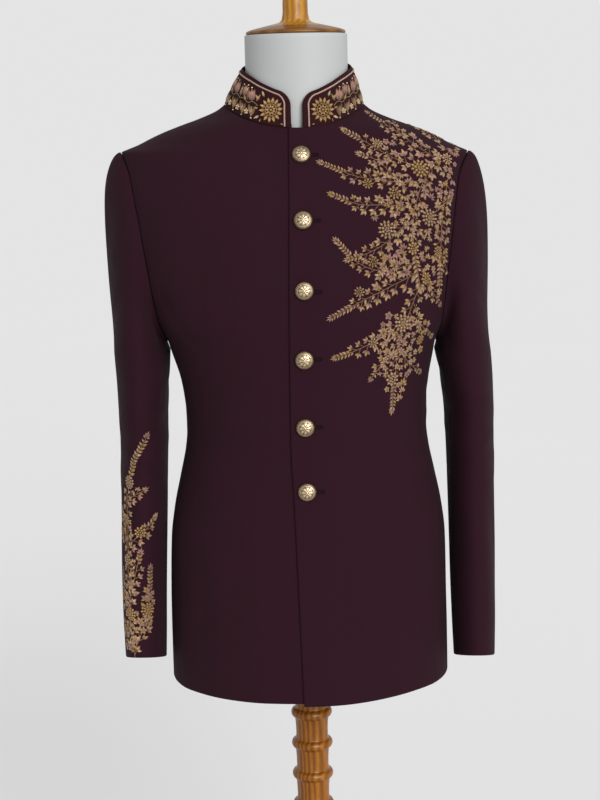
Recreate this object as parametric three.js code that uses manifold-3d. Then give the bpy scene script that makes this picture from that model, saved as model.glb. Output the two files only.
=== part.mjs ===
// A bandhgala: a buttoned, band-collared jacket in dark wool, shown on a limbless dress form with a turned
// wooden stand. Millimetres, +Z up, the front faces -Y and the wearer's left is +X.
//
// Every cloth panel is a thin wall over one body surface. That surface is a stack of horizontal sections from
// the table SECTIONS, and a point on it is named by a polar angle round the form (-90 is the centre front, 0
// the wearer's left side, 90 the centre back) and a height above the side hem. Each sleeve is a tube that
// leaves the armhole seam and hangs through the table SLEEVE. Panels meet at seams with a small gap.

import * as THREE from "three";
import { mergeVertices } from "three/addons/utils/BufferGeometryUtils.js";
import Module from "manifold-3d";

const wasm = await Module();
wasm.setup();

// ---- driving dimensions --------------------------------------------------------------------------------

const HEM_HEIGHT = 520; // side hem above the floor
const CLOTH = 2.2; // wool with its canvas
const SEAM_GAP = 0.3; // between two panels at a seam
const UNDERARM = 446; // heights above the side hem
const SHOULDER_POINT = 686;
const NECK_POINT = 746;
const FRONT_NECK = 716;
const BACK_NECK = 757;
const HEM_DROP_FRONT = 4.5; // the centre front hangs lower than the side
const HEM_DROP_BACK = 2;
const HEM_STEP = 3; // the overlapping front hangs a little lower than the one under it
const UNDER_LAP = 24; // how far the right front reaches behind the left one
const LAP_LIFT = 1.5; // the two fronts part by this each way where they lap
const LAP_FADE = 70; // and lie level again this far from the centre
const COLLAR_END_LEFT = 5.7; // from the centre to the collar's front ends
const COLLAR_END_RIGHT = 8.4;
const COLLAR_CORNER = 15; // radius of the collar's front corners
const BUTTON_RADIUS = 12.2;
const BUTTON_DOME = 6.2;
const BUTTON_RIM = 1.6;
const BUTTON_LIFT = 0.5; // from the cloth to the button's flat underside
const SHANK_RADIUS = 1.6;
const EYE_RADIUS = 2.3; // round end of a buttonhole
const SLIT_LENGTH = 20;
const SLIT_WIDTH = 0.9;
const SHOULDER_TILT = 0.018; // drop of the wearer's left shoulder, in mm for each mm from the centre

// Horizontal sections of the coat: height above the side hem, half width, depth of the front and of the back
// from the stand's axis, and how square the section is (2 is an ellipse).
const SECTIONS = table(["height", "half", "front", "back", "power"], [
  [-30, 182.8, 137, 126, 2.15],
  [0, 182.8, 136.5, 126, 2.15],
  [60, 182.6, 134, 125, 2.2],
  [130, 181.6, 131, 122, 2.28],
  [189, 179.8, 128.4, 116, 2.34],
  [230, 174.6, 126.4, 109, 2.36],
  [270, 166.2, 124.6, 100, 2.36],
  [310, 158, 123.4, 91.5, 2.34],
  [332, 155.9, 123, 88, 2.32],
  [370, 157.4, 123.4, 86.5, 2.32],
  [395, 160.5, 124, 88, 2.34],
  [430, 169, 125.4, 93, 2.38],
  [446, 173, 126.2, 96, 2.4],
  [476, 189, 127.5, 101, 2.4],
  [512, 200, 127.5, 106, 2.4],
  [565, 210, 123, 111, 2.38],
  [617, 216, 111, 111, 2.28],
  [652, 218.8, 97, 107.5, 2.1],
  [686, 220.5, 79, 100, 1.86],
  [697, 197, 73.5, 97, 1.78],
  [709, 170.5, 68.5, 93, 1.72],
  [719, 144.5, 63, 89, 1.7],
  [728, 119.5, 52, 84, 1.74],
  [738, 97.5, 38, 77, 1.85],
  [746, 87.5, 31, 70, 1.95],
  [757, 75, 27, 63, 2],
  [775, 62, 24, 55, 2],
]);

// Seams below the armhole: the side panel's half angle in front and behind.
const SIDE_SEAMS = table(["height", "front", "back"], [
  [-30, 24, 22],
  [130, 20, 19],
  [332, 13.5, 14],
  [476, 13, 12.5],
]);

// How far the left front laps past the centre, from the hem up.
const LAP_EDGE = table(["height", "past"], [
  [-30, 9.3],
  [0, 9.7],
  [67, 11],
  [183, 13.9],
  [259, 16],
  [322, 18.2],
  [509, 15.8],
  [654, 12.6],
  [716, 11.8],
]);

// The buttons: height, and distance to the wearer's left of the centre.
const BUTTONS = [
  [683.4, 3.1],
  [604.6, 3.4],
  [519.5, 2.8],
  [433.8, 1],
  [348.7, 0.2],
  [267.6, 0.6],
].map(([height, across]) => ({ height, across }));

// The armhole, from the underarm (0) to the shoulder point (1): share of its height, and the polar angle of
// its front and back edge.
const ARMHOLE = table(["along", "rise", "front", "back"], [
  [0, 0, 0, 0],
  [0.12, 0.012, 6.2, 6],
  [0.25, 0.06, 12.2, 11.4],
  [0.4, 0.18, 17, 15.2],
  [0.55, 0.36, 18.4, 16.2],
  [0.7, 0.57, 16.6, 14.8],
  [0.83, 0.77, 12.2, 11],
  [0.93, 0.93, 6.2, 5.8],
  [1, 1, 0, 0],
]);

// The hanging sleeve: height, the tube's centre, its half width and half depth, how square it is, and how much
// higher the section's front runs than its middle for each mm forward.
const SLEEVE = table(["height", "x", "y", "half", "depth", "power", "rake"], [
  [22, 217.2, -20, 26.6, 57, 2.0, 0.27],
  [80, 217, -15, 28.4, 60, 2.0, 0.24],
  [150, 216.2, -8, 29.4, 63.5, 2.0, 0.18],
  [230, 214.6, -2, 30, 67, 1.98, 0.12],
  [290, 213.4, 1, 30.6, 70.5, 1.96, 0.08],
  [345, 212.6, 3, 31.9, 74, 1.96, 0.04],
  [390, 210.7, 4, 33.8, 77, 1.98, 0.01],
  [430, 208.1, 4, 36.2, 79, 2.0, 0],
]);
const CUFF = 24; // height of the cuff's middle
const BICEP = 430; // where the cap's curve has become the tube
// How the cap leaves the armhole, by the place round the tube: 0 is outside, 90 the front, 180 inside and 270
// behind.
const CAP = table(["round", "out", "forward", "down", "reach", "fall"], [
  [0, 0.96, 0, -0.28, 130, 250],
  [45, 0.94, -0.2, -0.27, 104, 190],
  [90, 0.9, -0.36, -0.26, 52, 120],
  [135, 0.66, -0.3, -0.68, 26, 50],
  [180, 0.1, 0, -0.99, 14, 20],
  [225, 0.66, 0.34, -0.68, 26, 50],
  [270, 0.9, 0.38, -0.26, 54, 120],
  [315, 0.94, 0.2, -0.27, 104, 190],
  [360, 0.96, 0, -0.28, 130, 250],
]);
const CAP_SPREAD = 18; // how far the cap still widens as it becomes the tube
const FRONT_ARM_SEAM = 128; // places round the tube of the two sleeve seams
const BACK_ARM_SEAM = 248;
const SLEEVE_SEAM = 0.22; // half the gap at them, in degrees round the tube

// The collar's top edge by the angle from the centre front: its height.
const COLLAR_TOP = table(["turn", "height"], [
  [0, 757],
  [18, 761],
  [42, 771.5],
  [58, 780],
  [88, 791],
  [130, 799],
  [180, 802],
]);
const COLLAR_HALF = 69.5;
const COLLAR_FRONT = 61;
const COLLAR_BACK = 61;
const COLLAR_BULGE = 1.2;

// Sideways lean of the coat's sides and of the form over the stand.
const LEAN = table(["height", "shift"], [
  [-700, 0],
  [94, 0],
  [230, 1.6],
  [330, 2.4],
  [390, 1.4],
  [443, -1.6],
  [500, -3.6],
  [600, -5],
  [655, -6],
  [700, -4.6],
  [746, -4],
  [792, 0],
  [1000, 0],
]);

const LEAN_NONE = 10; // the lean fades out between these distances from the centre
const LEAN_FULL = 85;
const TILT_FROM = 280; // heights between which the shoulders' tilt comes in, and where it has gone again
const TILT_END = 800;

// The dress form inside the coat.
const FORM_BOTTOM = 62;
const FORM_TOP = 831.7;
const NECK_HALF = 65;
const NECK_DEPTH = 57;
const NECK_ROOT = 640; // the neck's column starts inside the chest here
// The space between the coat and the form at the side, and how much more there is in front and behind.
const FORM_CLEAR = table(["height", "side", "more"], [
  [0, 12, 0],
  [430, 8, 1],
  [560, 6, 2],
  [640, 5, 3],
  [686, 4.8, 4],
  [698, 3, 4],
  [712, 1.3, 4],
  [725, 0.9, 4],
  [800, 0.9, 4],
]);

// ---- tables and curves ---------------------------------------------------------------------------------

// Rows under named columns. The first column is the one that the others are looked up by.
function table(columns, rows) {
  const made = { key: rows.map((row) => row[0]) };
  columns.slice(1).forEach((name, i) => {
    const values = rows.map((row) => row[i + 1]);
    made[name] = monotone(made.key, values);
  });
  return made;
}

// A smooth curve through the points that never overshoots them.
function monotone(xs, ys) {
  const last = xs.length - 1;
  const slope = (i) => (ys[i + 1] - ys[i]) / (xs[i + 1] - xs[i]);
  const tangents = xs.map((_, i) => {
    if (i === 0) return slope(0);
    if (i === last) return slope(last - 1);
    const [a, b] = [slope(i - 1), slope(i)];
    if (a * b <= 0) return 0;
    const [h, k] = [xs[i] - xs[i - 1], xs[i + 1] - xs[i]];
    return (3 * (h + k)) / ((2 * k + h) / a + (k + 2 * h) / b);
  });
  return (x) => {
    const at = Math.min(Math.max(x, xs[0]), xs[last]);
    let i = 0;
    while (i < last - 1 && at > xs[i + 1]) i += 1;
    const h = xs[i + 1] - xs[i];
    const t = (at - xs[i]) / h;
    return hermite(ys[i], tangents[i] * h, ys[i + 1], tangents[i + 1] * h, t);
  };
}

function hermite(a, leaving, b, arriving, t) {
  const [t2, t3] = [t * t, t * t * t];
  const towards = 3 * t2 - 2 * t3;
  return (1 - towards) * a + (t3 - 2 * t2 + t) * leaving + towards * b + (t3 - t2) * arriving;
}

const radians = THREE.MathUtils.degToRad;
const degrees = THREE.MathUtils.radToDeg;
const mix = THREE.MathUtils.lerp;
const ease = THREE.MathUtils.smoothstep;
const point = (x, y, z) => new THREE.Vector3(x, y, z);

// ---- the body surface ----------------------------------------------------------------------------------

function ovalRadius(angle, half, depth, power) {
  const across = Math.abs(Math.cos(angle)) / half;
  const along = Math.abs(Math.sin(angle)) / depth;
  return (across ** power + along ** power) ** (-1 / power);
}

function bodyPoint(turn, height) {
  const angle = radians(turn);
  const depth = Math.sin(angle) < 0 ? SECTIONS.front(height) : SECTIONS.back(height);
  const r = ovalRadius(angle, SECTIONS.half(height), depth, SECTIONS.power(height));
  return point(r * Math.cos(angle), r * Math.sin(angle), height);
}

function bodyNormal(turn, height) {
  const [dTurn, dHeight] = [0.2, 0.5];
  const around = bodyPoint(turn + dTurn, height).sub(bodyPoint(turn - dTurn, height));
  const up = bodyPoint(turn, height + dHeight).sub(bodyPoint(turn, height - dHeight));
  return around.cross(up).normalize();
}

// The coat hangs a touch lower on one side and its sides lean over the stand. Hands back the point as it hangs.
function hang(p, share) {
  const lean = LEAN.shift(p.z) * ease(Math.abs(p.x), LEAN_NONE, LEAN_FULL);
  return point(p.x + lean, p.y, p.z - SHOULDER_TILT * p.x * share);
}
const bodyHang = (p) => hang(p, ease(p.z, TILT_FROM, UNDERARM) * (1 - ease(p.z, NECK_POINT, TILT_END)));
const sleeveHang = (p) => hang(p, 1);

function hemHeight(turn) {
  const s = Math.sin(radians(turn));
  return s < 0 ? HEM_DROP_FRONT * s : -HEM_DROP_BACK * s;
}

// Height of the neckline by the angle round the neck.
function neckline(turn) {
  const fromSide = Math.abs(90 - Math.abs(turn));
  const share = 1 - fromSide / 90;
  if (Math.sin(radians(turn)) < 0) {
    const fromFront = Math.min(Math.abs(turn + 90), 90) / 90;
    return mix(FRONT_NECK, NECK_POINT, fromFront ** 2);
  }
  return mix(NECK_POINT, BACK_NECK, Math.sin((share * Math.PI) / 2));
}

const turnAtX = (x, depth) => -90 + degrees(Math.atan2(x, depth));

// ---- walls ---------------------------------------------------------------------------------------------

// A closed wall from two grids of points, the outer skin and the inner one. Grids are rows of columns, with
// the columns running to the left when the wall is seen from outside with its first row at the bottom.
function wallGeometry(outer, inner, mirrored) {
  const [rows, columns] = [outer.length, outer[0].length];
  const last = columns - 1;
  const positions = [outer, inner].flat(2).flatMap((p) => p.toArray());
  const at = (skin, i, j) => skin * rows * columns + j * columns + i;
  const index = [];
  const quad = (a, b, c, d) => {
    if (mirrored) index.push(a, c, b, a, d, c);
    else index.push(a, b, c, a, c, d);
  };
  for (let j = 0; j < rows - 1; j += 1) {
    for (let i = 0; i < columns - 1; i += 1) {
      quad(at(0, i, j), at(0, i + 1, j), at(0, i + 1, j + 1), at(0, i, j + 1));
      quad(at(1, i, j), at(1, i, j + 1), at(1, i + 1, j + 1), at(1, i + 1, j));
    }
  }
  for (let i = 0; i < columns - 1; i += 1) {
    quad(at(0, i, 0), at(1, i, 0), at(1, i + 1, 0), at(0, i + 1, 0));
    quad(at(0, i, rows - 1), at(0, i + 1, rows - 1), at(1, i + 1, rows - 1), at(1, i, rows - 1));
  }
  for (let j = 0; j < rows - 1; j += 1) {
    quad(at(0, 0, j), at(0, 0, j + 1), at(1, 0, j + 1), at(1, 0, j));
    const [low, high] = [j, j + 1];
    quad(at(0, last, low), at(1, last, low), at(1, last, high), at(0, last, high));
  }
  const geometry = new THREE.BufferGeometry();
  geometry.setAttribute("position", new THREE.Float32BufferAttribute(positions, 3));
  geometry.setIndex(index);
  return geometry;
}

// A panel of the body. edges gives its four sides as functions from 0 to 1 to [turn, height]; lift says how far
// its outer skin stands off the body surface.
function bodyPanel(edges, across, up, lift, side) {
  const [outer, inner] = [[], []];
  for (const v of up) {
    const [left, right] = [edges.left(v), edges.right(v)];
    const rows = [[], []];
    for (const u of across) {
      const [bottom, top] = [edges.bottom(u), edges.top(u)];
      const [turn, height] = [0, 1].map((k) => {
        const corners = mix(
          mix(edges.bottom(0)[k], edges.bottom(1)[k], u),
          mix(edges.top(0)[k], edges.top(1)[k], u),
          v,
        );
        return mix(left[k], right[k], u) + mix(bottom[k], top[k], v) - corners;
      });
      const on = bodyPoint(turn, height);
      const normal = bodyNormal(turn, height);
      const off = lift(on, turn);
      [off, off - CLOTH].forEach((distance, skin) => {
        const p = on.clone().addScaledVector(normal, distance);
        p.x *= side;
        rows[skin].push(bodyHang(p));
      });
    }
    outer.push(rows[0]);
    inner.push(rows[1]);
  }
  return wallGeometry(outer, inner, side < 0);
}

const steps = (from, to, count) => Array.from({ length: count + 1 }, (_, i) => mix(from, to, i / count));
const seamTurn = (height) => degrees(SEAM_GAP / 2 / SECTIONS.half(height));

// Where the side panel's seam reaches the armhole: how far along the armhole's table.
function armholeAt(edge, seam) {
  let along = 0;
  while (ARMHOLE[edge](along) < seam) along += 0.002;
  return along;
}
const armholeHeight = (along) => mix(UNDERARM, SHOULDER_POINT, ARMHOLE.rise(along));
const SIDE_TOP = UNDERARM + 14; // the side seams meet the armhole at about this height
const SIDE_BLEND = 400; // and bend towards it from here
const FRONT_JOIN = armholeAt("front", SIDE_SEAMS.front(SIDE_TOP));
const BACK_JOIN = armholeAt("back", SIDE_SEAMS.back(SIDE_TOP));

// The side of a front (sign -1) or back (sign 1) panel that runs up the side seam, round the armhole and along
// the shoulder seam. knots are the places, from 0 to 1, where one of these ends and the next begins.
const KNOTS = [0.6, 0.86];
function outerEdge(sign, v) {
  const edge = sign < 0 ? "front" : "back";
  const join = sign < 0 ? FRONT_JOIN : BACK_JOIN;
  const bottom = hemHeight(sign * SIDE_SEAMS[edge](0));
  if (v <= KNOTS[0]) {
    const height = mix(bottom, armholeHeight(join), v / KNOTS[0]);
    const meets = ARMHOLE[edge](join);
    const seam = mix(SIDE_SEAMS[edge](height), meets, ease(height, SIDE_BLEND, armholeHeight(join)));
    return [sign * (seam + seamTurn(height)), height];
  }
  if (v <= KNOTS[1]) {
    const along = mix(join, 1, (v - KNOTS[0]) / (KNOTS[1] - KNOTS[0]));
    const height = armholeHeight(along);
    return [sign * (ARMHOLE[edge](along) + seamTurn(height)), height];
  }
  const height = mix(SHOULDER_POINT, NECK_POINT, (v - KNOTS[1]) / (1 - KNOTS[1]));
  return [sign * seamTurn(height), height];
}

const BELOW_ARM = 14; // rows of a panel below the armhole
const PANEL_ROWS = [
  ...steps(0, KNOTS[0], BELOW_ARM),
  ...steps(KNOTS[0], KNOTS[1], 8).slice(1),
  ...steps(KNOTS[1], 1, 6).slice(1),
];

const FRONT_COLUMNS = [...steps(0, 0.3, 5), ...steps(0.3, 1, 8).slice(1)];

// A front: side 1 is the wearer's left, which laps over and is lifted, and side -1 the right, which lies under.
function front(side) {
  const past = side > 0 ? LAP_EDGE.past : () => UNDER_LAP;
  const drop = side > 0 ? HEM_STEP : 0;
  const edgeTurn = (height) => turnAtX(-past(height), SECTIONS.front(height));
  const hem = (turn) => hemHeight(turn) - drop * ease(-turn, 30, 75);
  const bottomTurn = edgeTurn(-HEM_DROP_FRONT);
  const topTurn = edgeTurn(FRONT_NECK);
  const edges = {
    left: (v) => {
      const height = mix(hem(bottomTurn), FRONT_NECK, v);
      return [edgeTurn(height), height];
    },
    right: (v) => outerEdge(-1, v),
    bottom: (u) => {
      const turn = mix(bottomTurn, outerEdge(-1, 0)[0], u);
      return [turn, mix(hem(turn), outerEdge(-1, 0)[1], u ** 6)];
    },
    top: (u) => {
      const turn = mix(topTurn, outerEdge(-1, 1)[0], u);
      return [turn, neckline(turn)];
    },
  };
  const lift = (on, turn) => {
    const near = 1 - ease(on.x, UNDER_LAP, LAP_FADE);
    return turn < -20 ? side * LAP_LIFT * near : 0;
  };
  return bodyPanel(edges, FRONT_COLUMNS, PANEL_ROWS, lift, side);
}

function back(side) {
  const centre = (height) => 90 - degrees(SEAM_GAP / 2 / SECTIONS.back(height));
  const edges = {
    left: (v) => outerEdge(1, v),
    right: (v) => {
      const height = mix(hemHeight(90), BACK_NECK, v);
      return [centre(height), height];
    },
    bottom: (u) => {
      const turn = mix(outerEdge(1, 0)[0], centre(0), u);
      return [turn, hemHeight(turn)];
    },
    top: (u) => {
      const turn = mix(outerEdge(1, 1)[0], centre(BACK_NECK), u);
      return [turn, neckline(turn)];
    },
  };
  return bodyPanel(edges, steps(0, 1, 9), PANEL_ROWS, () => 0, side);
}

// The side panel under the arm. Its top edge is the bottom of the armhole.
function sidePanel(side) {
  const seam = (sign, v) => {
    const [turn, height] = outerEdge(sign, v * KNOTS[0]);
    return [turn - 2 * sign * seamTurn(height), height];
  };
  const edges = {
    left: (v) => seam(-1, v),
    right: (v) => seam(1, v),
    bottom: (u) => {
      const turn = mix(seam(-1, 0)[0], seam(1, 0)[0], u);
      return [turn, hemHeight(turn)];
    },
    top: (u) => {
      const along = u < 0.5 ? mix(FRONT_JOIN, 0, u * 2) : mix(0, BACK_JOIN, u * 2 - 1);
      const sign = u < 0.5 ? -1 : 1;
      const edge = sign < 0 ? "front" : "back";
      const height = armholeHeight(along);
      const most = ARMHOLE[edge](sign < 0 ? FRONT_JOIN : BACK_JOIN);
      const share = ARMHOLE[edge](along) / most;
      return [sign * share * Math.abs(seam(sign, 1)[0]), height];
    },
  };
  return bodyPanel(edges, steps(0, 1, 8), steps(0, 1, BELOW_ARM), () => 0, side);
}

// ---- sleeves -------------------------------------------------------------------------------------------

// A point of the armhole seam, by the place round the sleeve.
function armholePoint(round) {
  const turn = ((round % 360) + 360) % 360;
  const isFront = turn <= 180;
  const along = 1 - (isFront ? turn : 360 - turn) / 180;
  const height = armholeHeight(along);
  const angle = isFront ? -ARMHOLE.front(along) : ARMHOLE.back(along);
  return bodyPoint(angle, height);
}

function tubePoint(round, height) {
  const angle = radians(round);
  const r = ovalRadius(angle, SLEEVE.half(height), SLEEVE.depth(height), SLEEVE.power(height));
  const forward = r * Math.sin(angle);
  const rise = SLEEVE.rake(height) * forward;
  return point(SLEEVE.x(height) + r * Math.cos(angle), SLEEVE.y(height) - forward, height + rise);
}

// The sleeve's outer skin. along runs from the armhole (0) through the bicep (1) to the cuff (2).
function sleevePoint(round, along) {
  if (along >= 1) return tubePoint(round, mix(BICEP, CUFF, along - 1));
  const turn = ((round % 360) + 360) % 360;
  const away = point(CAP.out(turn), CAP.forward(turn), CAP.down(turn)).normalize();
  const from = armholePoint(turn).addScaledVector(away, 2 * SEAM_GAP);
  const to = tubePoint(turn, BICEP);
  const reach = CAP.reach(turn);
  const fall = CAP.fall(turn);
  const spread = CAP_SPREAD * Math.cos(radians(turn));
  return point(
    hermite(from.x, away.x * reach, to.x, spread, along),
    hermite(from.y, away.y * reach, to.y, 0, along),
    hermite(from.z, away.z * reach, to.z, -fall, along),
  );
}

function sleeveNormal(round, along) {
  const [dRound, dAlong] = [1, 0.01];
  const low = Math.max(along - dAlong, 0);
  const around = sleevePoint(round + dRound, along).sub(sleevePoint(round - dRound, along));
  const down = sleevePoint(round, along + dAlong).sub(sleevePoint(round, low));
  return down.cross(around).normalize().negate();
}

const SLEEVE_ROWS = [...steps(0, 1, 9), ...steps(1, 2, 9).slice(1)];

// One piece of a sleeve between two places round the tube.
function sleevePiece(from, to, count, side) {
  const [outer, inner] = [[], []];
  for (const along of [...SLEEVE_ROWS].reverse()) {
    const rows = [[], []];
    for (const share of steps(0, 1, count)) {
      const round = mix(from + SLEEVE_SEAM, to - SLEEVE_SEAM, share);
      const on = sleevePoint(round, along);
      const normal = sleeveNormal(round, along);
      [0, -CLOTH].forEach((distance, skin) => {
        const p = on.clone().addScaledVector(normal, distance);
        p.x *= side;
        rows[skin].push(sleeveHang(p));
      });
    }
    outer.push(rows[0]);
    inner.push(rows[1]);
  }
  return wallGeometry(outer, inner, side > 0);
}

// ---- collar --------------------------------------------------------------------------------------------

// The collar by the angle from the centre front (0 to 360, through the wearer's left) and the share of its
// rise.
function collarPoint(turn, share) {
  const mirrored = turn > 180;
  const folded = mirrored ? 360 - turn : turn;
  const base = bodyPoint(folded - 90, neckline(folded - 90));
  const angle = radians(folded - 90);
  const depth = Math.sin(angle) < 0 ? COLLAR_FRONT : COLLAR_BACK;
  const r = ovalRadius(angle, COLLAR_HALF, depth, 2);
  const top = point(r * Math.cos(angle), r * Math.sin(angle), COLLAR_TOP.height(folded));
  const p = base.lerp(top, share);
  const bulge = COLLAR_BULGE * Math.sin(Math.PI * share);
  p.x += bulge * Math.cos(angle);
  p.y += bulge * Math.sin(angle);
  p.z += 3 * SEAM_GAP * (1 - share);
  if (mirrored) p.x = -p.x;
  return p;
}

function collarNormal(turn, share) {
  const low = Math.max(share - 0.02, 0);
  const around = collarPoint(turn + 1, share).sub(collarPoint(turn - 1, share));
  const up = collarPoint(turn, share + 0.02).sub(collarPoint(turn, low));
  return around.cross(up).normalize();
}

function collar() {
  const [outer, inner] = [[], []];
  const rise = COLLAR_TOP.height(0) - FRONT_NECK;
  for (const share of [0, 0.3, 0.62, 0.8, 0.93, 1]) {
    const over = Math.max(0, share * rise - (rise - COLLAR_CORNER)) / COLLAR_CORNER;
    const rounding = COLLAR_CORNER * (1 - Math.sqrt(1 - Math.min(over, 1) ** 2));
    const depth = mix(SECTIONS.front(FRONT_NECK), COLLAR_FRONT, share);
    const from = degrees(Math.atan2(COLLAR_END_LEFT + rounding, depth));
    const to = 360 - degrees(Math.atan2(COLLAR_END_RIGHT + rounding, depth));
    const rows = [[], []];
    const quarters = [steps(from, 90, 10), steps(90, 270, 14).slice(1), steps(270, to, 10).slice(1)];
    for (const turn of quarters.flat()) {
      const on = collarPoint(turn, share);
      const normal = collarNormal(turn, share);
      [0, -CLOTH].forEach((distance, skin) => {
        rows[skin].push(bodyHang(on.clone().addScaledVector(normal, distance)));
      });
    }
    outer.push(rows[0]);
    inner.push(rows[1]);
  }
  return wallGeometry(outer, inner, false);
}

// ---- buttons and buttonholes ---------------------------------------------------------------------------

// The place of a button: the point of the lapping front's outer skin, the way out of the cloth, and how deep
// under that point the other front lies.
function buttonSeat({ height, across }, over, under) {
  const way = bodyNormal(turnAtX(across, SECTIONS.front(height)), height);
  const from = bodyHang(bodyPoint(-90, height)).setX(across).addScaledVector(way, 50);
  const ray = new THREE.Raycaster(from, way.clone().negate());
  const [first, second] = [over, under].map((geometry) => ray.intersectObject(new THREE.Mesh(geometry))[0]);
  return { at: first.point, way, depth: second.distance - first.distance };
}

function seated(geometry, seat) {
  const spin = new THREE.Quaternion().setFromUnitVectors(point(0, 1, 0), seat.way);
  return geometry.applyQuaternion(spin).translate(seat.at.x, seat.at.y, seat.at.z);
}

// A domed metal button whose shank goes through the buttonhole to the front beneath.
function button(seat) {
  const foot = SEAM_GAP - seat.depth;
  const brim = BUTTON_LIFT + BUTTON_RIM;
  const outline = [
    [0, foot],
    [SHANK_RADIUS, foot],
    [SHANK_RADIUS, BUTTON_LIFT],
    [BUTTON_RADIUS - 1.2, BUTTON_LIFT],
    [BUTTON_RADIUS, BUTTON_LIFT + BUTTON_RIM / 2],
    [BUTTON_RADIUS - 0.5, brim],
    [BUTTON_RADIUS - 2.4, brim + 2],
    [BUTTON_RADIUS - 6, brim + 3.9],
    [0, BUTTON_LIFT + BUTTON_DOME],
  ];
  return seated(lathe(outline, 14), seat);
}

// The cutters of one buttonhole: a round eye at the button with a slit running away from the edge.
function buttonholeCutters(seat) {
  const depth = 12;
  const eye = new THREE.CylinderGeometry(EYE_RADIUS, EYE_RADIUS, depth, 10);
  const slit = new THREE.BoxGeometry(SLIT_LENGTH, depth, SLIT_WIDTH).translate(SLIT_LENGTH / 2, 0, 0);
  return [eye, slit].map((geometry) => solid(seated(geometry, seat)));
}

// ---- solids --------------------------------------------------------------------------------------------

function solid(geometry) {
  const bare = new THREE.BufferGeometry();
  bare.setAttribute("position", geometry.getAttribute("position"));
  if (geometry.index) bare.setIndex(geometry.index);
  const merged = mergeVertices(bare, 1e-4);
  const mesh = new wasm.Mesh({
    numProp: 3,
    vertProperties: merged.attributes.position.array,
    triVerts: new Uint32Array(merged.index.array),
  });
  return new wasm.Manifold(mesh);
}

function geometryOf(manifold) {
  const mesh = manifold.getMesh();
  const geometry = new THREE.BufferGeometry();
  geometry.setAttribute("position", new THREE.BufferAttribute(mesh.vertProperties, 3));
  geometry.setIndex(new THREE.BufferAttribute(mesh.triVerts, 1));
  return geometry;
}

function withButtonholes(panel, seats) {
  const cutters = seats.flatMap(buttonholeCutters);
  return geometryOf(cutters.reduce((cut, cutter) => cut.subtract(cutter), solid(panel)));
}

// A closed body through rings of points, from the lowest ring to the highest, with a flat lid on each end.
function ringedBody(rings) {
  const count = rings[0].length;
  const positions = rings.flat().flatMap((p) => p.toArray());
  const index = [];
  for (let j = 0; j < rings.length - 1; j += 1) {
    for (let i = 0; i < count; i += 1) {
      const [a, b] = [j * count + i, j * count + ((i + 1) % count)];
      index.push(a, b, b + count, a, b + count, a + count);
    }
  }
  const top = (rings.length - 1) * count;
  for (let i = 1; i < count - 1; i += 1) {
    index.push(0, i + 1, i);
    index.push(top, top + i, top + i + 1);
  }
  const geometry = new THREE.BufferGeometry();
  geometry.setAttribute("position", new THREE.Float32BufferAttribute(positions, 3));
  geometry.setIndex(index);
  return geometry;
}

// ---- the dress form and its stand ----------------------------------------------------------------------

// A ring of the torso: the coat's section at that height, in by the cloth and the space inside it.
function torsoRing(height) {
  return FORM_TURNS.map((turn) => {
    const clear = FORM_CLEAR.side(height) + FORM_CLEAR.more(height) * Math.sin(radians(turn)) ** 2;
    const on = bodyPoint(turn, height);
    return bodyHang(on.addScaledVector(bodyNormal(turn, height), -CLOTH - clear));
  });
}

function neckRing(height) {
  return FORM_TURNS.map((turn) => {
    const angle = radians(turn);
    return bodyHang(point(NECK_HALF * Math.cos(angle), NECK_DEPTH * Math.sin(angle), height));
  });
}

const FORM_TURNS = steps(0, 360, 32).slice(0, -1);
function dressForm() {
  const shoulders = [476, 512, 565, 617, 652, 672, 686, 697, 709, 719, 728, 738, 746];
  const torso = [...steps(FORM_BOTTOM, UNDERARM, 7), ...shoulders];
  const neck = [NECK_ROOT, 700, 746, 770, 800, FORM_TOP];
  const chest = solid(ringedBody(torso.map(torsoRing)));
  const column = solid(ringedBody(neck.map(neckRing)));
  return geometryOf(chest.add(column));
}

function lathe(outline, sides) {
  return new THREE.LatheGeometry(outline.map(([r, h]) => new THREE.Vector2(r, h)), sides);
}

const lathed = (outline, sides) => lathe(outline, sides).rotateX(Math.PI / 2);

const CAP_RADIUS = 63.2;
function neckCap() {
  const foot = FORM_TOP + SEAM_GAP;
  const outline = [
    [0, foot],
    [CAP_RADIUS - 1.5, foot],
    [CAP_RADIUS, foot + 1.6],
    [CAP_RADIUS - 0.6, foot + 3.6],
    [CAP_RADIUS - 12, foot + 7.6],
    [32, foot + 12],
    [21, foot + 15],
    [17.8, foot + 18],
    [17, foot + 21],
    [15.9, foot + 26],
    [15.9, foot + 50],
    [18.4, foot + 53],
    [18.4, foot + 57],
    [13.5, foot + 60.5],
    [12.5, foot + 64],
    [18, foot + 70],
    [20.5, foot + 79],
    [17.5, foot + 89],
    [9, foot + 95.5],
    [0, foot + 97.5],
  ];
  return lathed(outline, 20).scale(1, NECK_DEPTH / NECK_HALF, 1);
}

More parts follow.
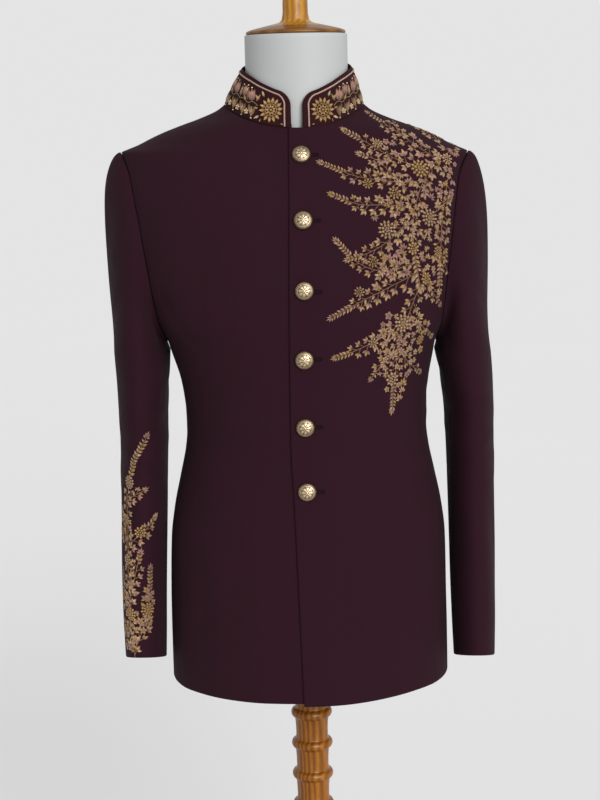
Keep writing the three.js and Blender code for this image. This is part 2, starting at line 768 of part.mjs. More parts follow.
const BASE_RADIUS = 195;
const BASE_THICKNESS = 28;
const BARREL_PITCH = 43; // from one turned ring of the pole to the next
const BARREL_RING = 27.2;
const BARREL_WAIST = 21.5;
const BARRELS = 7;
const FIRST_RING = -60; // height of the ring just under the hem
function pole() {
  const outline = [
    [0, FORM_BOTTOM - SEAM_GAP],
    [44, FORM_BOTTOM - SEAM_GAP],
    [46, FORM_BOTTOM - 4],
    [44, FORM_BOTTOM - 9],
    [26, FORM_BOTTOM - 14],
    [22, FORM_BOTTOM - 24],
  ];
  for (let i = 0; i < BARRELS; i += 1) {
    const ring = FIRST_RING + BARREL_PITCH - i * BARREL_PITCH;
    outline.push([BARREL_WAIST, ring + 8], [BARREL_RING - 2, ring + 4.5], [BARREL_RING, ring]);
    outline.push([BARREL_RING - 2, ring - 4.5], [BARREL_WAIST + 0.8, ring - 9]);
  }
  const below = FIRST_RING + BARREL_PITCH - BARRELS * BARREL_PITCH;
  const foot = BASE_THICKNESS + SEAM_GAP - HEM_HEIGHT;
  outline.push([BARREL_WAIST, below + 8], [23, below - 10], [26, foot + 120], [27, foot + 60]);
  outline.push([25, foot + 40], [33, foot + 30], [40, foot + 14], [40, foot], [0, foot]);
  return lathed(outline.reverse(), 16);
}

function base() {
  const floor = -HEM_HEIGHT;
  return lathed(
    [
      [0, floor],
      [BASE_RADIUS - 3, floor],
      [BASE_RADIUS, floor + 3],
      [BASE_RADIUS, floor + 13],
      [BASE_RADIUS - 6, floor + 18],
      [BASE_RADIUS - 20, floor + 20],
      [62, floor + BASE_THICKNESS - 2],
      [56, floor + BASE_THICKNESS],
      [0, floor + BASE_THICKNESS],
    ],
    32,
  );
}

// ---- the part ------------------------------------------------------------------------------------------

const WOOL = { color: 0x301b24, roughness: 0.85, metalness: 0 };
const COLLAR_WOOL = { color: 0x2c1419, roughness: 0.85, metalness: 0 };
const BRASS = { color: 0xb8955a, roughness: 0.38, metalness: 1 };
const FORM_SHELL = { color: 0xd4d4d2, roughness: 0.5, metalness: 0 };
const WOOD = { color: 0xa86a24, roughness: 0.4, metalness: 0 };

const part = new THREE.Group();
part.position.z = HEM_HEIGHT;

function add(name, geometry, look) {
  const mesh = new THREE.Mesh(geometry, new THREE.MeshStandardMaterial(look));
  mesh.name = name;
  part.add(mesh);
}

const [leftFront, rightFront] = [front(1), front(-1)];
const seats = BUTTONS.map((place) => buttonSeat(place, leftFront, rightFront));
add("front_left", withButtonholes(leftFront, seats), WOOL);
add("front_right", rightFront, WOOL);
for (const [word, side] of [
  ["left", 1],
  ["right", -1],
]) {
  add(`side_${word}`, sidePanel(side), WOOL);
  add(`back_${word}`, back(side), WOOL);
  add(`top_sleeve_${word}`, sleevePiece(BACK_ARM_SEAM - 360, FRONT_ARM_SEAM, 13, side), WOOL);
  add(`under_sleeve_${word}`, sleevePiece(FRONT_ARM_SEAM, BACK_ARM_SEAM, 7, side), WOOL);
}
add("collar", collar(), COLLAR_WOOL);
seats.forEach((seat, i) => add(`button_${i + 1}`, button(seat), BRASS));
add("dress_form", dressForm(), FORM_SHELL);
add("neck_cap", neckCap(), WOOD);
add("pole", pole(), WOOD);
add("base", base(), WOOD);

export default part;
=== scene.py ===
"""The bandhgala on its dress form, dressed for the render.

The CAD frame gives the places. Every cloth panel is made again here as a finer thin shell over the same body
surface, with its creases, rolled edges and seams, and the trimmings lie on those shells. Lengths are in
millimetres above the side hem, as in the part's source, until a mesh is made: meshes are in metres.
"""

import math

import bpy
import numpy as np
from mathutils import Matrix


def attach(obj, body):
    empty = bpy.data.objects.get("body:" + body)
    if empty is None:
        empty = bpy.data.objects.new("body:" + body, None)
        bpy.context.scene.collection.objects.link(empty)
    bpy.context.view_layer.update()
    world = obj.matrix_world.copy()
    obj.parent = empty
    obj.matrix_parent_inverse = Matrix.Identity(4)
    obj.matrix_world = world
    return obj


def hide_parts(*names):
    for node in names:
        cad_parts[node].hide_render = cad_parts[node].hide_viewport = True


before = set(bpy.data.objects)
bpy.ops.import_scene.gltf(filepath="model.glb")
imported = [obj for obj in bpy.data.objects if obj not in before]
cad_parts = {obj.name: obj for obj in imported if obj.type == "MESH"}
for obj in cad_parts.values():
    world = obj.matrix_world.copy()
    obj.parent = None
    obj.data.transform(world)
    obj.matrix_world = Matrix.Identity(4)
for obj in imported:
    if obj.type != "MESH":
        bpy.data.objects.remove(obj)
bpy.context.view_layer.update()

# ---- driving dimensions, as in the part's source ----------------------------------------------------------

HEM_HEIGHT = 520.0
CLOTH = 2.2
SEAM_GAP = 0.3
CLOSED_GAP = 0.06  # left between two panels here, so that nothing shows through a seam
UNDERARM = 446.0
SHOULDER_POINT = 686.0
NECK_POINT = 746.0
FRONT_NECK = 716.0
BACK_NECK = 757.0
HEM_DROP_FRONT = 4.5
HEM_DROP_BACK = 2.0
HEM_STEP = 3.0
UNDER_LAP = 24.0
LAP_LIFT = 1.5
LAP_FADE = 70.0
COLLAR_END_LEFT = 5.7
COLLAR_END_RIGHT = 8.4
COLLAR_CORNER = 15.0
BUTTON_RADIUS = 12.2
BUTTON_DOME = 6.2
BUTTON_RIM = 1.6
BUTTON_LIFT = 0.5
SHANK_RADIUS = 1.6
EYE_RADIUS = 2.3
SLIT_LENGTH = 20.0
SLIT_WIDTH = 0.9
SHOULDER_TILT = 0.018
SIDE_TOP = UNDERARM + 14
SIDE_BLEND = 400.0
KNOTS = (0.6, 0.86)
CUFF = 24.0
BICEP = 430.0
CAP_SPREAD = 18.0
FRONT_ARM_SEAM = 128.0
BACK_ARM_SEAM = 248.0
SLEEVE_SEAM = 0.22
COLLAR_HALF = 69.5
COLLAR_DEPTH = 61.0
COLLAR_BULGE = 1.2
LEAN_NONE = 10.0
LEAN_FULL = 85.0
TILT_FROM = 280.0
TILT_END = 800.0
FORM_BOTTOM = 62.0
FORM_TOP = 831.7
NECK_HALF = 65.0
NECK_DEPTH = 57.0
NECK_ROOT = 640.0


# ---- curves -----------------------------------------------------------------------------------------------


def mix(a, b, t):
    return a + (b - a) * t


def ease(x, low, high):
    t = np.clip((x - low) / (high - low), 0, 1)
    return t * t * (3 - 2 * t)


def bell(x, width):
    return np.exp(-((x / width) ** 2))


def signed(turn):
    """An angle in degrees between -180 and 180."""
    return (turn + 180) % 360 - 180


def hermite(a, leaving, b, arriving, t):
    t2, t3 = t * t, t * t * t
    towards = 3 * t2 - 2 * t3
    return (1 - towards) * a + (t3 - 2 * t2 + t) * leaving + towards * b + (t3 - t2) * arriving


def monotone(xs, ys):
    """A smooth curve through the points that never overshoots them."""
    step = np.diff(xs)
    slope = np.diff(ys) / step
    before, after = slope[:-1], slope[1:]
    turning = before * after <= 0
    a = np.where(turning, 1.0, before)
    b = np.where(turning, 1.0, after)
    low, high = step[:-1], step[1:]
    inner = 3 * (low + high) / ((2 * high + low) / a + (high + 2 * low) / b)
    tangent = np.concatenate([slope[:1], np.where(turning, 0.0, inner), slope[-1:]])

    def at(x):
        x = np.clip(x, xs[0], xs[-1])
        i = np.clip(np.searchsorted(xs, x, side="right") - 1, 0, len(step) - 1)
        t = (x - xs[i]) / step[i]
        return hermite(ys[i], tangent[i] * step[i], ys[i + 1], tangent[i + 1] * step[i], t)

    return at


def table(columns, rows):
    """Rows under named columns, looked up by the first one."""
    data = np.array(rows, dtype=float)
    return {name: monotone(data[:, 0], data[:, i + 1]) for i, name in enumerate(columns[1:])}


# The body's level sections: half width, reach to the front and to the back, and the power of the oval.
SECTIONS = table(
    ["height", "half", "front", "back", "power"],
    [
        [-30, 182.8, 137, 126, 2.15],
        [0, 182.8, 136.5, 126, 2.15],
        [60, 182.6, 134, 125, 2.2],
        [130, 181.6, 131, 122, 2.28],
        [189, 179.8, 128.4, 116, 2.34],
        [230, 174.6, 126.4, 109, 2.36],
        [270, 166.2, 124.6, 100, 2.36],
        [310, 158, 123.4, 91.5, 2.34],
        [332, 155.9, 123, 88, 2.32],
        [370, 157.4, 123.4, 86.5, 2.32],
        [395, 160.5, 124, 88, 2.34],
        [430, 169, 125.4, 93, 2.38],
        [446, 173, 126.2, 96, 2.4],
        [476, 189, 127.5, 101, 2.4],
        [512, 200, 127.5, 106, 2.4],
        [565, 210, 123, 111, 2.38],
        [617, 216, 111, 111, 2.28],
        [652, 218.8, 97, 107.5, 2.1],
        [686, 220.5, 79, 100, 1.86],
        [697, 197, 73.5, 97, 1.78],
        [709, 170.5, 68.5, 93, 1.72],
        [719, 144.5, 63, 89, 1.7],
        [728, 119.5, 52, 84, 1.74],
        [738, 97.5, 38, 77, 1.85],
        [746, 87.5, 31, 70, 1.95],
        [757, 75, 27, 63, 2],
        [775, 62, 24, 55, 2],
    ],
)
# The side panel's seams, in degrees from the body's side.
SIDE_SEAMS = table(
    ["height", "front", "back"],
    [[-30, 24, 22], [130, 20, 19], [332, 13.5, 14], [476, 13, 12.5]],
)
# How far the left front's edge lies past the centre, to the wearer's right.
LAP_EDGE = table(
    ["height", "past"],
    [
        [-30, 9.3],
        [0, 9.7],
        [67, 11],
        [183, 13.9],
        [259, 16],
        [322, 18.2],
        [509, 15.8],
        [654, 12.6],
        [716, 11.8],
    ],
)
# Each button's height, and how far it lies to the wearer's left of the centre.
BUTTONS = [(683.4, 3.1), (604.6, 3.4), (519.5, 2.8), (433.8, 1.0), (348.7, 0.2), (267.6, 0.6)]
# The armhole from under the arm (0) to the shoulder point (1): its share of the rise, and its degrees from
# the body's side.
ARMHOLE = table(
    ["along", "rise", "front", "back"],
    [
        [0, 0, 0, 0],
        [0.12, 0.012, 6.2, 6],
        [0.25, 0.06, 12.2, 11.4],
        [0.4, 0.18, 17, 15.2],
        [0.55, 0.36, 18.4, 16.2],
        [0.7, 0.57, 16.6, 14.8],
        [0.83, 0.77, 12.2, 11],
        [0.93, 0.93, 6.2, 5.8],
        [1, 1, 0, 0],
    ],
)
# The hanging sleeve's sections: centre, half width, half depth, the power of the oval and its slope.
SLEEVE = table(
    ["height", "x", "y", "half", "depth", "power", "rake"],
    [
        [22, 217.2, -20, 26.6, 57, 2.0, 0.27],
        [80, 217, -15, 28.4, 60, 2.0, 0.24],
        [150, 216.2, -8, 29.4, 63.5, 2.0, 0.18],
        [230, 214.6, -2, 30, 67, 1.98, 0.12],
        [290, 213.4, 1, 30.6, 70.5, 1.96, 0.08],
        [345, 212.6, 3, 31.9, 74, 1.96, 0.04],
        [390, 210.7, 4, 33.8, 77, 1.98, 0.01],
        [430, 208.1, 4, 36.2, 79, 2.0, 0],
    ],
)
# How the sleeve leaves the armhole, by the angle round it: its direction, and the curve's pull at both ends.
CAP = table(
    ["round", "out", "forward", "down", "reach", "fall"],
    [
        [0, 0.96, 0, -0.28, 130, 250],
        [45, 0.94, -0.2, -0.27, 104, 190],
        [90, 0.9, -0.36, -0.26, 52, 120],
        [135, 0.66, -0.3, -0.68, 26, 50],
        [180, 0.1, 0, -0.99, 14, 20],
        [225, 0.66, 0.34, -0.68, 26, 50],
        [270, 0.9, 0.38, -0.26, 54, 120],
        [315, 0.94, 0.2, -0.27, 104, 190],
        [360, 0.96, 0, -0.28, 130, 250],
    ],
)
# The collar's top edge, by the angle from the centre front.
COLLAR_TOP = table(
    ["turn", "height"],
    [[0, 757], [18, 761], [42, 771.5], [58, 780], [88, 791], [130, 799], [180, 802]],
)
# How far the sides lean to the wearer's left.
LEAN = table(
    ["height", "shift"],
    [
        [-700, 0],
        [94, 0],
        [230, 1.6],
        [330, 2.4],
        [390, 1.4],
        [443, -1.6],
        [500, -3.6],
        [600, -5],
        [655, -6],
        [700, -4.6],
        [746, -4],
        [792, 0],
        [1000, 0],
    ],
)
# The air between form and cloth at the sides, and how much more of it to the front and back.
FORM_CLEAR = table(
    ["height", "side", "more"],
    [
        [0, 12, 0],
        [430, 8, 1],
        [560, 6, 2],
        [640, 5, 3],
        [686, 4.8, 4],
        [698, 3, 4],
        [712, 1.3, 4],
        [725, 0.9, 4],
        [800, 0.9, 4],
    ],
)


# ---- the body surface -------------------------------------------------------------------------------------


def points(x, y, z):
    return np.stack(np.broadcast_arrays(x, y, z), axis=-1).astype(float)


def unit(vectors):
    return vectors / np.linalg.norm(vectors, axis=-1, keepdims=True)


def mirrored(spots, side):
    return spots * np.array([side, 1.0, 1.0])


def oval_radius(angle, half, depth, power):
    across = np.abs(np.cos(angle)) / half
    along = np.abs(np.sin(angle)) / depth
    return (across**power + along**power) ** (-1 / power)


def body_point(turn, height):
    angle = np.radians(turn)
    depth = np.where(np.sin(angle) < 0, SECTIONS["front"](height), SECTIONS["back"](height))
    r = oval_radius(angle, SECTIONS["half"](height), depth, SECTIONS["power"](height))
    return points(r * np.cos(angle), r * np.sin(angle), height)


TURN_STEP = 0.2  # degrees and millimetres to either side, for the way out of the surface
RISE_STEP = 0.5


def body_normal(turn, height):
    around = body_point(turn + TURN_STEP, height) - body_point(turn - TURN_STEP, height)
    up = body_point(turn, height + RISE_STEP) - body_point(turn, height - RISE_STEP)
    return unit(np.cross(around, up))


def hang(spots, share):
    """The coat hangs a touch lower on one side and its sides lean over the stand."""
    x, y, z = spots[..., 0], spots[..., 1], spots[..., 2]
    lean = LEAN["shift"](z) * ease(np.abs(x), LEAN_NONE, LEAN_FULL)
    return points(x + lean, y, z - SHOULDER_TILT * x * share)


def body_hang(spots):
    z = spots[..., 2]
    return hang(spots, ease(z, TILT_FROM, UNDERARM) * (1 - ease(z, NECK_POINT, TILT_END)))


def sleeve_hang(spots):
    return hang(spots, 1.0)


def hem_height(turn):
    s = np.sin(np.radians(turn))
    return np.where(s < 0, HEM_DROP_FRONT * s, -HEM_DROP_BACK * s)


def neckline(turn):
    """Height of the neckline by the angle round the neck."""
    share = 1 - np.abs(90 - np.abs(turn)) / 90
    from_front = np.minimum(np.abs(turn + 90), 90) / 90
    before = mix(FRONT_NECK, NECK_POINT, from_front**2)
    behind = mix(NECK_POINT, BACK_NECK, np.sin(share * np.pi / 2))
    return np.where(np.sin(np.radians(turn)) < 0, before, behind)


def turn_at_x(x, depth):
    return -90 + np.degrees(np.arctan2(x, depth))


def seam_turn(height):
    return np.degrees(CLOSED_GAP / 2 / SECTIONS["half"](height))


def armhole_height(along):
    return mix(UNDERARM, SHOULDER_POINT, ARMHOLE["rise"](along))


def armhole_at(edge):
    """Where the side panel's seam reaches the armhole: how far along the armhole's table."""
    along = np.arange(0, 1, 0.002)
    reached = ARMHOLE[edge](along) >= SIDE_SEAMS[edge](SIDE_TOP)
    return float(along[np.argmax(reached)])


FRONT_JOIN = armhole_at("front")
BACK_JOIN = armhole_at("back")


def outer_edge(sign, v):
    """The side of a front (-1) or back (1) panel: up the side seam, round the armhole, along the shoulder."""
    edge, join = ("front", FRONT_JOIN) if sign < 0 else ("back", BACK_JOIN)
    bottom = hem_height(sign * SIDE_SEAMS[edge](0.0))
    low = mix(bottom, armhole_height(join), v / KNOTS[0])
    meets = ARMHOLE[edge](join)
    seam = mix(SIDE_SEAMS[edge](low), meets, ease(low, SIDE_BLEND, armhole_height(join)))
    along = mix(join, 1, np.clip((v - KNOTS[0]) / (KNOTS[1] - KNOTS[0]), 0, 1))
    middle = armhole_height(along)
    high = mix(SHOULDER_POINT, NECK_POINT, (v - KNOTS[1]) / (1 - KNOTS[1]))
    height = np.select([v <= KNOTS[0], v <= KNOTS[1]], [low, middle], high)
    turn = np.select(
        [v <= KNOTS[0], v <= KNOTS[1]],
        [seam + seam_turn(low), ARMHOLE[edge](along) + seam_turn(middle)],
        seam_turn(high),
    )
    return sign * turn, height


# ---- creases ----------------------------------------------------------------------------------------------

# A crease: centre (across, height), its direction from level in degrees, half length, half width and depth,
# where a ridge is positive. Across is the angle round the body, as on the wearer's left.
BODY_CREASES = [
    (-62, 470, 78, 60, 13, 0.9),
    (-44, 520, 100, 70, 9, -1.1),
    (-36, 560, 104, 60, 8, 1.0),
    (-30, 505, 62, 34, 7, -1.5),
    (-30, 468, 40, 32, 7, 0.9),
    (-40, 395, 12, 42, 9, -1.0),
    (-52, 372, 8, 50, 9, 0.8),
    (-34, 350, -10, 40, 8, -0.9),
    (-30, 322, -20, 38, 8, 0.8),
    (-58, 300, -24, 46, 10, -0.7),
    (-60, 180, 88, 110, 16, 0.9),
    (-38, 110, 92, 100, 12, -1.0),
    (-24, 90, 90, 90, 9, 1.0),
    (-74, 90, 90, 90, 11, -0.6),
    (-50, 660, 150, 50, 9, -0.8),
    (-62, 690, 160, 40, 8, 0.6),
    (0, 380, 4, 30, 9, -0.9),
    (4, 345, -6, 30, 8, 0.8),
    (2, 130, 90, 90, 9, -0.9),
    (34, 520, 80, 70, 9, -1.1),
    (42, 560, 76, 64, 10, 1.0),
    (60, 600, 60, 60, 12, -0.8),
    (40, 385, 170, 44, 9, -1.1),
    (56, 360, 174, 48, 9, 0.9),
    (66, 335, -170, 44, 9, -0.9),
    (34, 330, -160, 36, 8, 0.7),
    (70, 140, 88, 110, 14, 0.9),
    (48, 100, 90, 100, 12, -0.9),
    (28, 80, 92, 90, 9, 0.9),
    (60, 690, 24, 46, 10, -0.9),
]
# The wearer's right side has its own, a little apart from the left one's.
RIGHT_SHIFT = (3.0, -14.0)


CREASE_BEND = 3.0  # how far a crease wanders to the side
CREASE_SWELL = 0.25  # the share by which its depth comes and goes, over a length of
CREASE_PITCH = 17.0
BODY_ROUND = 0.85  # the body's mean radius in its half widths
CENTRE_FADE = (2, 14)  # degrees from the middle of the front and back where creases fade in


def crease_field(across, height, scale, creases):
    """Soft uneven troughs and ridges. scale turns across into millimetres."""
    total = np.zeros(np.broadcast(across, height).shape)
    for i, (a, h, direction, length, width, depth) in enumerate(creases):
        dx, dz = (across - a) * scale, height - h
        c, s = math.cos(math.radians(direction)), math.sin(math.radians(direction))
        along = dx * c + dz * s
        bend = CREASE_BEND * np.sin(along / length * 1.9 + i)
        aside = -dx * s + dz * c + bend
        swell = 1 + CREASE_SWELL * np.sin(along / CREASE_PITCH + 2.3 * i)
        total = total + depth * swell * np.exp(-((along / length) ** 2) - (aside / width) ** 2)
    return total


SHOULDER_EASE = 1.8  # how far the shoulder's rounded end is pressed down, how far in and over what turn
SHOULDER_IN = 5.0
SHOULDER_TURN = 16.0


def shoulder_press(turn, height):
    """The cloth lies flatter than the section's corner beside the sleeve's top."""
    rise = np.maximum(height - SHOULDER_POINT, 0) / SHOULDER_IN
    near = bell(np.abs(turn) % 180, SHOULDER_TURN)
    return -SHOULDER_EASE * rise * np.exp(1 - rise) * near


def body_crease(turn, height, side):
    shift_turn, shift_height = (0.0, 0.0) if side > 0 else RIGHT_SHIFT
    scale = SECTIONS["half"](height) * np.pi / 180 * BODY_ROUND
    wrinkles = crease_field(turn - shift_turn, height - shift_height, scale, BODY_CREASES)
    aside = ease(np.abs(np.abs(turn) - 90), *CENTRE_FADE)
    return wrinkles * aside + shoulder_press(turn, height)


SLEEVE_CREASES = [
    (20, 560, 74, 60, 12, 0.8),
    (60, 520, 66, 56, 11, -1.3),
    (84, 480, 58, 52, 10, 1.3),
    (104, 440, 50, 46, 10, -1.5),
    (96, 385, 30, 46, 10, 1.2),
    (120, 350, 16, 50, 9, -1.6),
    (88, 320, -8, 52, 10, 1.3),
    (110, 292, -18, 46, 9, -1.5),
    (70, 262, -28, 46, 9, 1.1),
    (60, 200, 70, 60, 10, -1.1),
    (88, 170, 76, 60, 10, 1.0),
    (40, 120, 82, 60, 11, -0.9),
    (10, 330, 14, 40, 11, -0.9),
    (-14, 300, -10, 40, 11, 0.8),
    (-40, 500, 110, 60, 12, -1.2),
    (-62, 460, 118, 54, 11, 1.2),
    (-86, 420, 128, 50, 10, -1.4),
    (-70, 350, 164, 48, 10, 1.2),
    (-96, 318, 176, 50, 10, -1.5),
    (-76, 286, -168, 48, 10, 1.2),
    (-60, 210, 100, 60, 11, -1.0),
    (-84, 150, 96, 60, 11, 1.0),
    (180, 400, 4, 40, 10, -1.0),
    (170, 330, -6, 40, 10, 1.0),
]
SLEEVE_ROUND_SCALE = 0.83  # millimetres for each degree round the sleeve
SLEEVE_SPLIT = -140  # the creases are placed from here once round
RIGHT_SLEEVE_DROP = 16.0  # how much lower the wearer's right sleeve has them
SLEEVE_FADE = (0.12, 0.5)  # where they fade in along the sleeve's head


def sleeve_crease(turn, height, side):
    folded = signed(turn)
    drop = 0.0 if side > 0 else RIGHT_SLEEVE_DROP
    spot = np.where(folded < SLEEVE_SPLIT, folded + 360, folded)
    return crease_field(spot, height + drop, SLEEVE_ROUND_SCALE, SLEEVE_CREASES)


# ---- meshes -----------------------------------------------------------------------------------------------


def to_metres(spots):
    lifted = np.asarray(spots, dtype=float).reshape(-1, 3) + np.array([0, 0, HEM_HEIGHT])
    return lifted / 1000


def mesh_object(name, spots, faces, uvs=None, tones=None, smooth_angle=50):
    """An object from millimetre points. uvs and tones are for each point; tones are linear colours."""
    mesh = bpy.data.meshes.new(name)
    mesh.from_pydata(to_metres(spots).tolist(), [], [list(map(int, face)) for face in faces])
    corner = np.empty(len(mesh.loops), dtype=np.int32)
    mesh.loops.foreach_get("vertex_index", corner)
    if uvs is not None:
        layer = mesh.uv_layers.new(name="cloth")
        layer.data.foreach_set("uv", (np.asarray(uvs)[corner] / 1000).astype(np.float32).ravel())
    if tones is not None:
        paint = mesh.color_attributes.new(name="tone", type="FLOAT_COLOR", domain="POINT")
        rgba = np.concatenate([tones, np.ones((len(tones), 1))], axis=1)
        paint.data.foreach_set("color", rgba.astype(np.float32).ravel())
    mesh.shade_smooth()
    mesh.set_sharp_from_angle(angle=math.radians(smooth_angle))
    made = bpy.data.objects.new(name, mesh)
    bpy.context.scene.collection.objects.link(made)
    return made


def grid_faces(rows, columns, offset=0, flip=False, wrap=False):
    """Quads of a grid of points, rows of columns."""
    j, i = np.meshgrid(np.arange(rows - 1), np.arange(columns if wrap else columns - 1), indexing="ij")
    right = (i + 1) % columns
    quads = [j * columns + i, j * columns + right, (j + 1) * columns + right, (j + 1) * columns + i]
    made = np.stack([part.ravel() for part in quads], axis=1) + offset
    return made[:, ::-1] if flip else made


def lids(rows, columns):
    """The flat lids of a body of closed rows of points: under its first row and over its last."""
    return [list(range(columns))[::-1], list(range((rows - 1) * columns, rows * columns))]


def ringed(rings):
    """The points and faces of a closed body through rings of points, with flat lids."""
    count, sides = rings.shape[:2]
    return rings.reshape(-1, 3), grid_faces(count, sides, wrap=True).tolist() + lids(count, sides)


def gathered(bodies):
    """The points and faces of several bodies as those of one."""
    spots, faces, count = [], [], 0
    for some, some_faces in bodies:
        spots.append(some)
        faces += [[index + count for index in face] for face in some_faces]
        count += len(some)
    return np.concatenate(spots), faces


def wall_faces(rows, columns, flip):
    """A closed wall of two grids: the outer skin's faces, the inner skin's and the rim's."""
    size = rows * columns
    outer = grid_faces(rows, columns)
    inner = grid_faces(rows, columns, size)[:, ::-1]
    loop = np.concatenate(
        [
            np.arange(columns),
            np.arange(1, rows) * columns + columns - 1,
            (rows - 1) * columns + np.arange(columns - 2, -1, -1),
            np.arange(rows - 2, 0, -1) * columns,
        ]
    )
    following = np.roll(loop, -1)
    rim = np.stack([loop, loop + size, following + size, following], axis=1)
    return [part[:, ::-1] if flip else part for part in (outer, inner, rim)]


def run_lengths(spots, axis):
    """Distance along a grid's rows or columns from its first point."""
    steps = np.linalg.norm(np.diff(spots, axis=axis), axis=-1)
    start = np.zeros_like(np.take(steps, [0], axis=axis))
    return np.concatenate([start, np.cumsum(steps, axis=axis)], axis=axis)


SEAM_DITCH = 0.25  # how far the cloth turns down into a seam, and over what width
SEAM_ROLL = 1.5
INNER_DITCH = 0.3  # of that on the inner skin
FREE_ROLL = 0.85  # how far each skin rounds over at a free edge, and over what width
FREE_WIDTH = 1.9
NEAR_EDGE = np.array([0.0, 0.0012, 0.0035, 0.007, 0.012, 0.02])  # shares of a side where extra rows lie
INSIDE = 0.03  # the share where the even rows start


def graded(count):
    """Shares across a panel: even ones, and closer ones by both edges."""
    middle = np.linspace(INSIDE, 1 - INSIDE, count)
    return np.concatenate([NEAR_EDGE, middle, 1 - NEAR_EDGE[::-1]])


def edge_shape(base, kinds):
    """How far the outer and the inner skin turn in by the panel's sides: left, right, bottom and top."""
    across, up = run_lengths(base, 1), run_lengths(base, 0)
    reach = [across, across[:, -1:] - across, up, up[-1:] - up]
    outer, inner = np.zeros(across.shape), np.zeros(across.shape)
    for distance, kind in zip(reach, kinds):
        if kind == "seam":
            fall = -SEAM_DITCH * bell(distance, SEAM_ROLL)
            outer, inner = outer + fall, inner + INNER_DITCH * fall
        if kind == "free":
            fall = FREE_ROLL * np.clip(1 - distance / FREE_WIDTH, 0, 1) ** 2
            outer, inner = outer - fall, inner + fall
    return outer, inner, across, up


SEWN_BUT_HEM = ("seam", "seam", "free", "seam")  # a panel's left, right, bottom and top
FACING = 38.0  # width of the cloth turned in behind a free edge; the rest of the inside is lined


def shell(name, base, normal, off, kinds, side, hung, flip):
    """The thin shell of one panel, with its lining on the inner skin."""
    outer_shape, inner_shape, across, up = edge_shape(base, kinds)
    outer = base + normal * (off + outer_shape)[..., None]
    inner = base + normal * (off - CLOTH + inner_shape)[..., None]
    grids = [hung(mirrored(grid, side)) for grid in (outer, inner)]
    rows, columns = base.shape[:2]
    faces = wall_faces(rows, columns, flip)
    uv = np.stack([across, up], axis=-1).reshape(-1, 2)
    spots = np.concatenate([grid.reshape(-1, 3) for grid in grids])
    made = mesh_object(name, spots, np.concatenate(faces), np.tile(uv, (2, 1)))
    reach = [across, across[:, -1:] - across, up, up[-1:] - up]
    turned_in = np.zeros(across.shape, dtype=bool)
    for distance, kind in zip(reach, kinds):
        if kind == "free":
            turned_in |= distance < FACING
    lined = ~turned_in[:-1, :-1].ravel()
    slots = np.concatenate([np.zeros(len(faces[0])), lined, np.zeros(len(faces[2]))]).astype(np.int32)
    made.data.polygons.foreach_set("material_index", slots)
    return made


def coons(edges, across, up):
    """Turn and height over a patch between four edges."""
    u, v = np.meshgrid(across, up)
    corners = [edges[edge](np.array(k)) for edge in ("bottom", "top") for k in (0.0, 1.0)]
    left, right = edges["left"](v), edges["right"](v)
    bottom, top = edges["bottom"](u), edges["top"](u)
    made = []
    for k in (0, 1):
        low, high = mix(corners[0][k], corners[1][k], u), mix(corners[2][k], corners[3][k], u)
        made.append(mix(left[k], right[k], u) + mix(bottom[k], top[k], v) - mix(low, high, v))
    return made


def panel_rows(low, middle, high):
    """Shares up a front or back panel: below the armhole, along it and along the shoulder."""
    below = np.linspace(INSIDE, KNOTS[0], low)
    armhole = np.linspace(KNOTS[0], KNOTS[1], middle)[1:]
    shoulder = np.linspace(KNOTS[1], 0.985, high)[1:]
    return np.concatenate([NEAR_EDGE, below, armhole, shoulder, 1 - NEAR_EDGE[::-1][1:]])


BODY_ROWS = panel_rows(96, 44, 22)


def lap_lift(x, turn, side):
    """How far the left front lies out and the right one in where they overlap."""
    near = 1 - ease(x, UNDER_LAP, LAP_FADE)
    return np.where(turn < -20, side * LAP_LIFT * near, 0.0)


def body_panel(name, edges, across, up, side, kinds, lift=None):
    """The shell of a front, back or side panel between its four edges."""
    turn, height = coons(edges, across, up)
    base, normal = body_point(turn, height), body_normal(turn, height)
    off = body_crease(turn, height, side)
    if lift is not None:
        off = off + lift(base[..., 0], turn, side)
    return shell(name, base, normal, off, kinds, side, body_hang, side < 0)


def front_edges(side):
    drop = HEM_STEP if side > 0 else 0.0

    def edge_turn(height):
        past = LAP_EDGE["past"](height) if side > 0 else UNDER_LAP
        return turn_at_x(-past, SECTIONS["front"](height))

    def hem(turn):
        return hem_height(turn) - drop * ease(-turn, 30, 75)

    low, high = edge_turn(-HEM_DROP_FRONT), edge_turn(FRONT_NECK)
    corner = outer_edge(-1, np.array(0.0))
    shoulder = outer_edge(-1, np.array(1.0))

    def left(v):
        height = mix(hem(low), FRONT_NECK, v)
        return edge_turn(height), height

    def bottom(u):
        turn = mix(low, corner[0], u)
        return turn, mix(hem(turn), corner[1], u**6)

    def top(u):
        turn = mix(high, shoulder[0], u)
        return turn, neckline(turn)

    return {"left": left, "right": lambda v: outer_edge(-1, v), "bottom": bottom, "top": top}


def front(name, side):
    kinds = ("free", "seam", "free", "seam")
    return body_panel(name, front_edges(side), graded(52), BODY_ROWS, side, kinds, lap_lift)


def back(name, side):
    def centre(height):
        return 90 - np.degrees(CLOSED_GAP / 2 / SECTIONS["back"](height))

    corner = outer_edge(1, np.array(0.0))
    shoulder = outer_edge(1, np.array(1.0))

    def right(v):
        height = mix(hem_height(90.0), BACK_NECK, v)
        return centre(height), height

    def bottom(u):
        turn = mix(corner[0], centre(0.0), u)
        return turn, hem_height(turn)

    def top(u):
        turn = mix(shoulder[0], centre(BACK_NECK), u)
        return turn, neckline(turn)

    edges = {"left": lambda v: outer_edge(1, v), "right": right, "bottom": bottom, "top": top}
    return body_panel(name, edges, graded(46), BODY_ROWS, side, SEWN_BUT_HEM)


